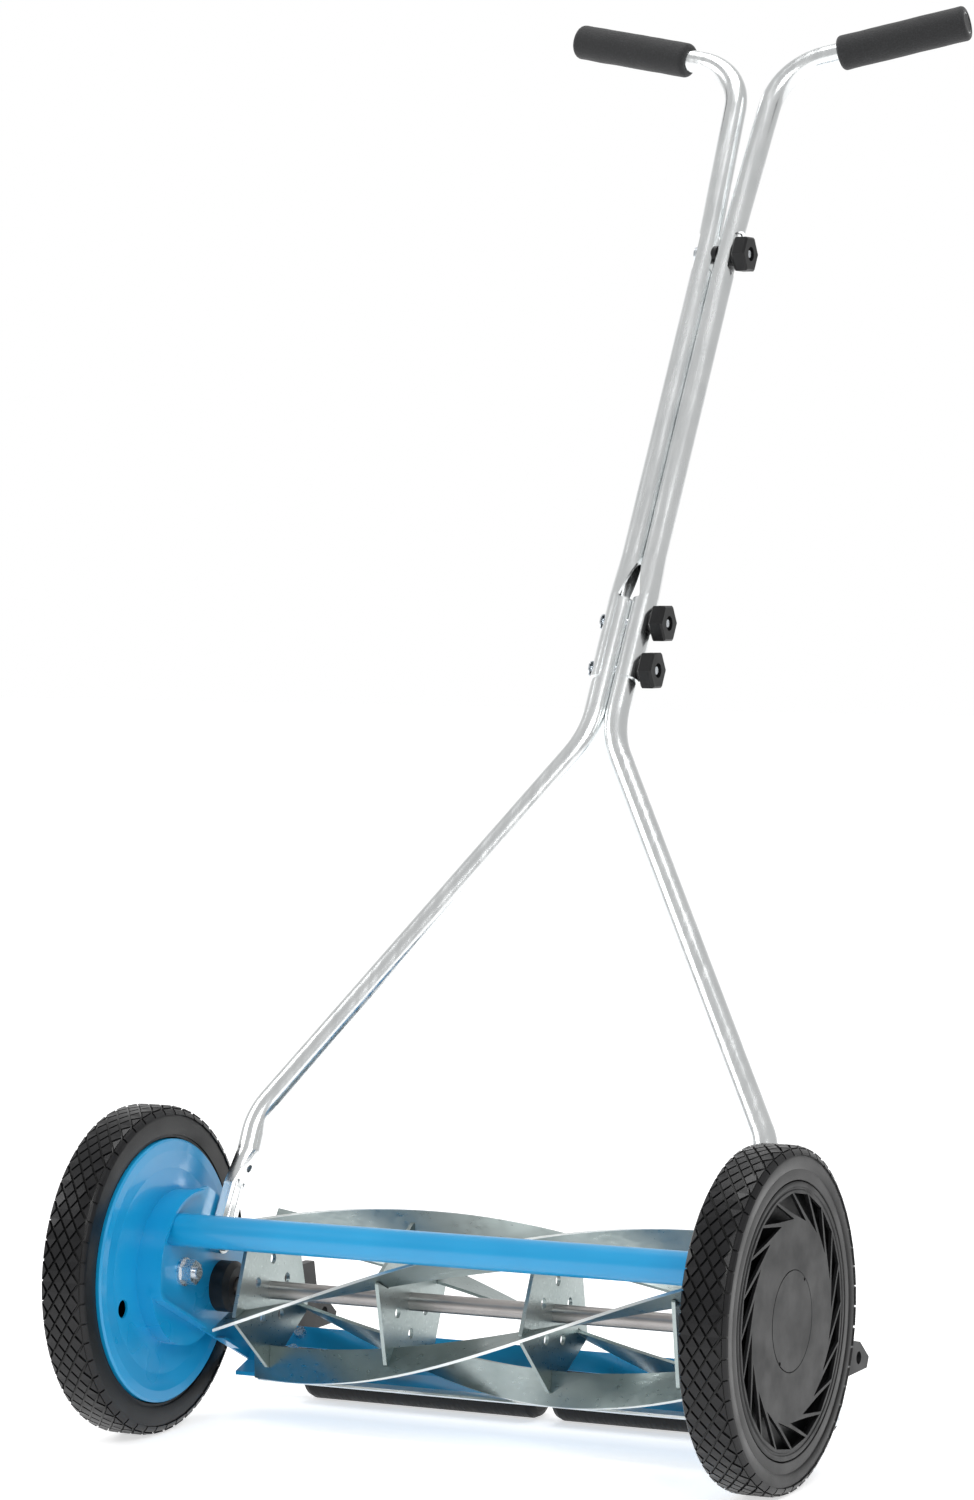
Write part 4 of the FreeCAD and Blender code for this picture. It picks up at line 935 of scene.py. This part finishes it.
def make_grips():
    """Foam sleeves over the handle's ends, with shallow soft dents all over."""
    for side in SIDES:
        middle, way, half, radius = axis_of(f"grip_{side}")
        seat = Matrix.Translation(middle) @ way.to_track_quat("X", "Z").to_matrix().to_4x4()
        name = f"foam_grip_{side}"
        mesh = turned_mesh(name, sleeve_profile(half, radius - 0.2 * MM), SLEEVE_SEGMENTS, seat)
        for vertex in mesh.vertices:
            off_axis = (vertex.co - middle) - way * (vertex.co - middle).dot(way)
            if off_axis.length > TUBE_RADIUS + 1 * MM:
                vertex.co += off_axis.normalized() * noise.noise(vertex.co / DENT_SIZE) * DENT_DEPTH
        grip = new_piece(name, mesh, "foam", "handle")
        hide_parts(f"grip_{side}")


# ---- studio ----
FLOOR_REACH = 12.0
TENT_BACK = (-0.443, 0.895, 0.05)
CAMERA_PLACE = (1.5777, -3.1180, 0.7137)
CAMERA_AZIMUTH, CAMERA_ELEVATION, CAMERA_ROLL = 26.34, 2.94, -0.08


def make_floor():
    """White paper floor just under the wheels."""
    floor_mesh = bpy.data.meshes.new("studio_floor")
    level = min(0.0, cad_low.z) - 0.2 * MM
    ends = ((-1, -1), (1, -1), (1, 1), (-1, 1))
    corners = [(x * FLOOR_REACH, y * FLOOR_REACH, level) for x, y in ends]
    floor_mesh.from_pydata(corners, [], [(0, 1, 2, 3)])
    floor_mesh.materials.append(studio_paper())
    host_for("studio_floor", floor_mesh)


def make_light_tent():
    """A white tent, brighter at the back than in front; a straight look at it is plain white."""
    world = bpy.data.worlds.new("studio_tent")
    bpy.context.scene.world = world
    world.use_nodes = True
    tree = world.node_tree
    tree.nodes.clear()
    way = add(tree, "ShaderNodeTexCoord", out="Generated")
    to_back = add(
        tree,
        "ShaderNodeVectorMath",
        {0: way, 1: TENT_BACK},
        "Value",
        operation="DOT_PRODUCT",
    )
    tent = add(
        tree,
        "ShaderNodeMapRange",
        {"Value": to_back, "From Min": 0.6, "From Max": 1.0, "To Min": 0.55, "To Max": 0.95},
        interpolation_type="SMOOTHSTEP",
    )
    seen = add(tree, "ShaderNodeLightPath", out="Is Camera Ray")
    glow = add(tree, "ShaderNodeMath", {0: tent, 1: seen}, operation="MAXIMUM")
    air = add(tree, "ShaderNodeBackground", {"Color": colour("#ffffff"), "Strength": glow})
    add(tree, "ShaderNodeOutputWorld", {"Surface": air})
    bpy.context.scene.view_settings.view_transform = "Standard"


def make_lamps():
    """Three soft panels: the key at the front right, one at the left and one overhead."""
    soft_lamp("key_panel", (1.9, -2.0, 2.4), 1.4, 42.0)
    soft_lamp("left_panel", (-2.4, -1.0, 1.8), 1.2, 22.0)
    soft_lamp("top_panel", (0.0, 0.6, 2.8), 1.4, 26.0)


def soft_lamp(name, spot, size, power):
    """A square panel lamp that faces the middle of the mower."""
    lamp = bpy.data.lights.new(name, "AREA")
    lamp.size = size
    lamp.energy = power
    holder = host_for(name, lamp)
    holder.location = spot
    holder.rotation_euler = (Vector((0, 0, 0.3)) - Vector(spot)).to_track_quat("-Z", "Y").to_euler()


def make_camera():
    """Camera low at the front right, level with the handle's lower joint."""
    camera = bpy.data.cameras.new("view_camera")
    camera.sensor_fit = "HORIZONTAL"
    camera.sensor_width = 36.0
    camera.lens = 173.7
    camera.clip_end = 100.0
    azimuth = math.radians(CAMERA_AZIMUTH)
    elevation = math.radians(CAMERA_ELEVATION)
    roll = math.radians(CAMERA_ROLL)
    right = Vector((math.cos(azimuth), math.sin(azimuth), 0))
    level_back = Vector((math.sin(azimuth), -math.cos(azimuth), 0))
    back = level_back * math.cos(elevation) + Vector((0, 0, math.sin(elevation)))
    turn = Matrix((right, back.cross(right), back)).transposed() @ Euler((0, 0, roll)).to_matrix()
    holder = host_for("view_camera", camera)
    holder.matrix_world = Matrix.Translation(CAMERA_PLACE) @ turn.to_4x4()
    bpy.context.scene.camera = holder


make_camera()
dress_cad_nodes()
make_tyres()
make_wheel_covers()
make_grips()
make_floor()
make_light_tent()
make_lamps()
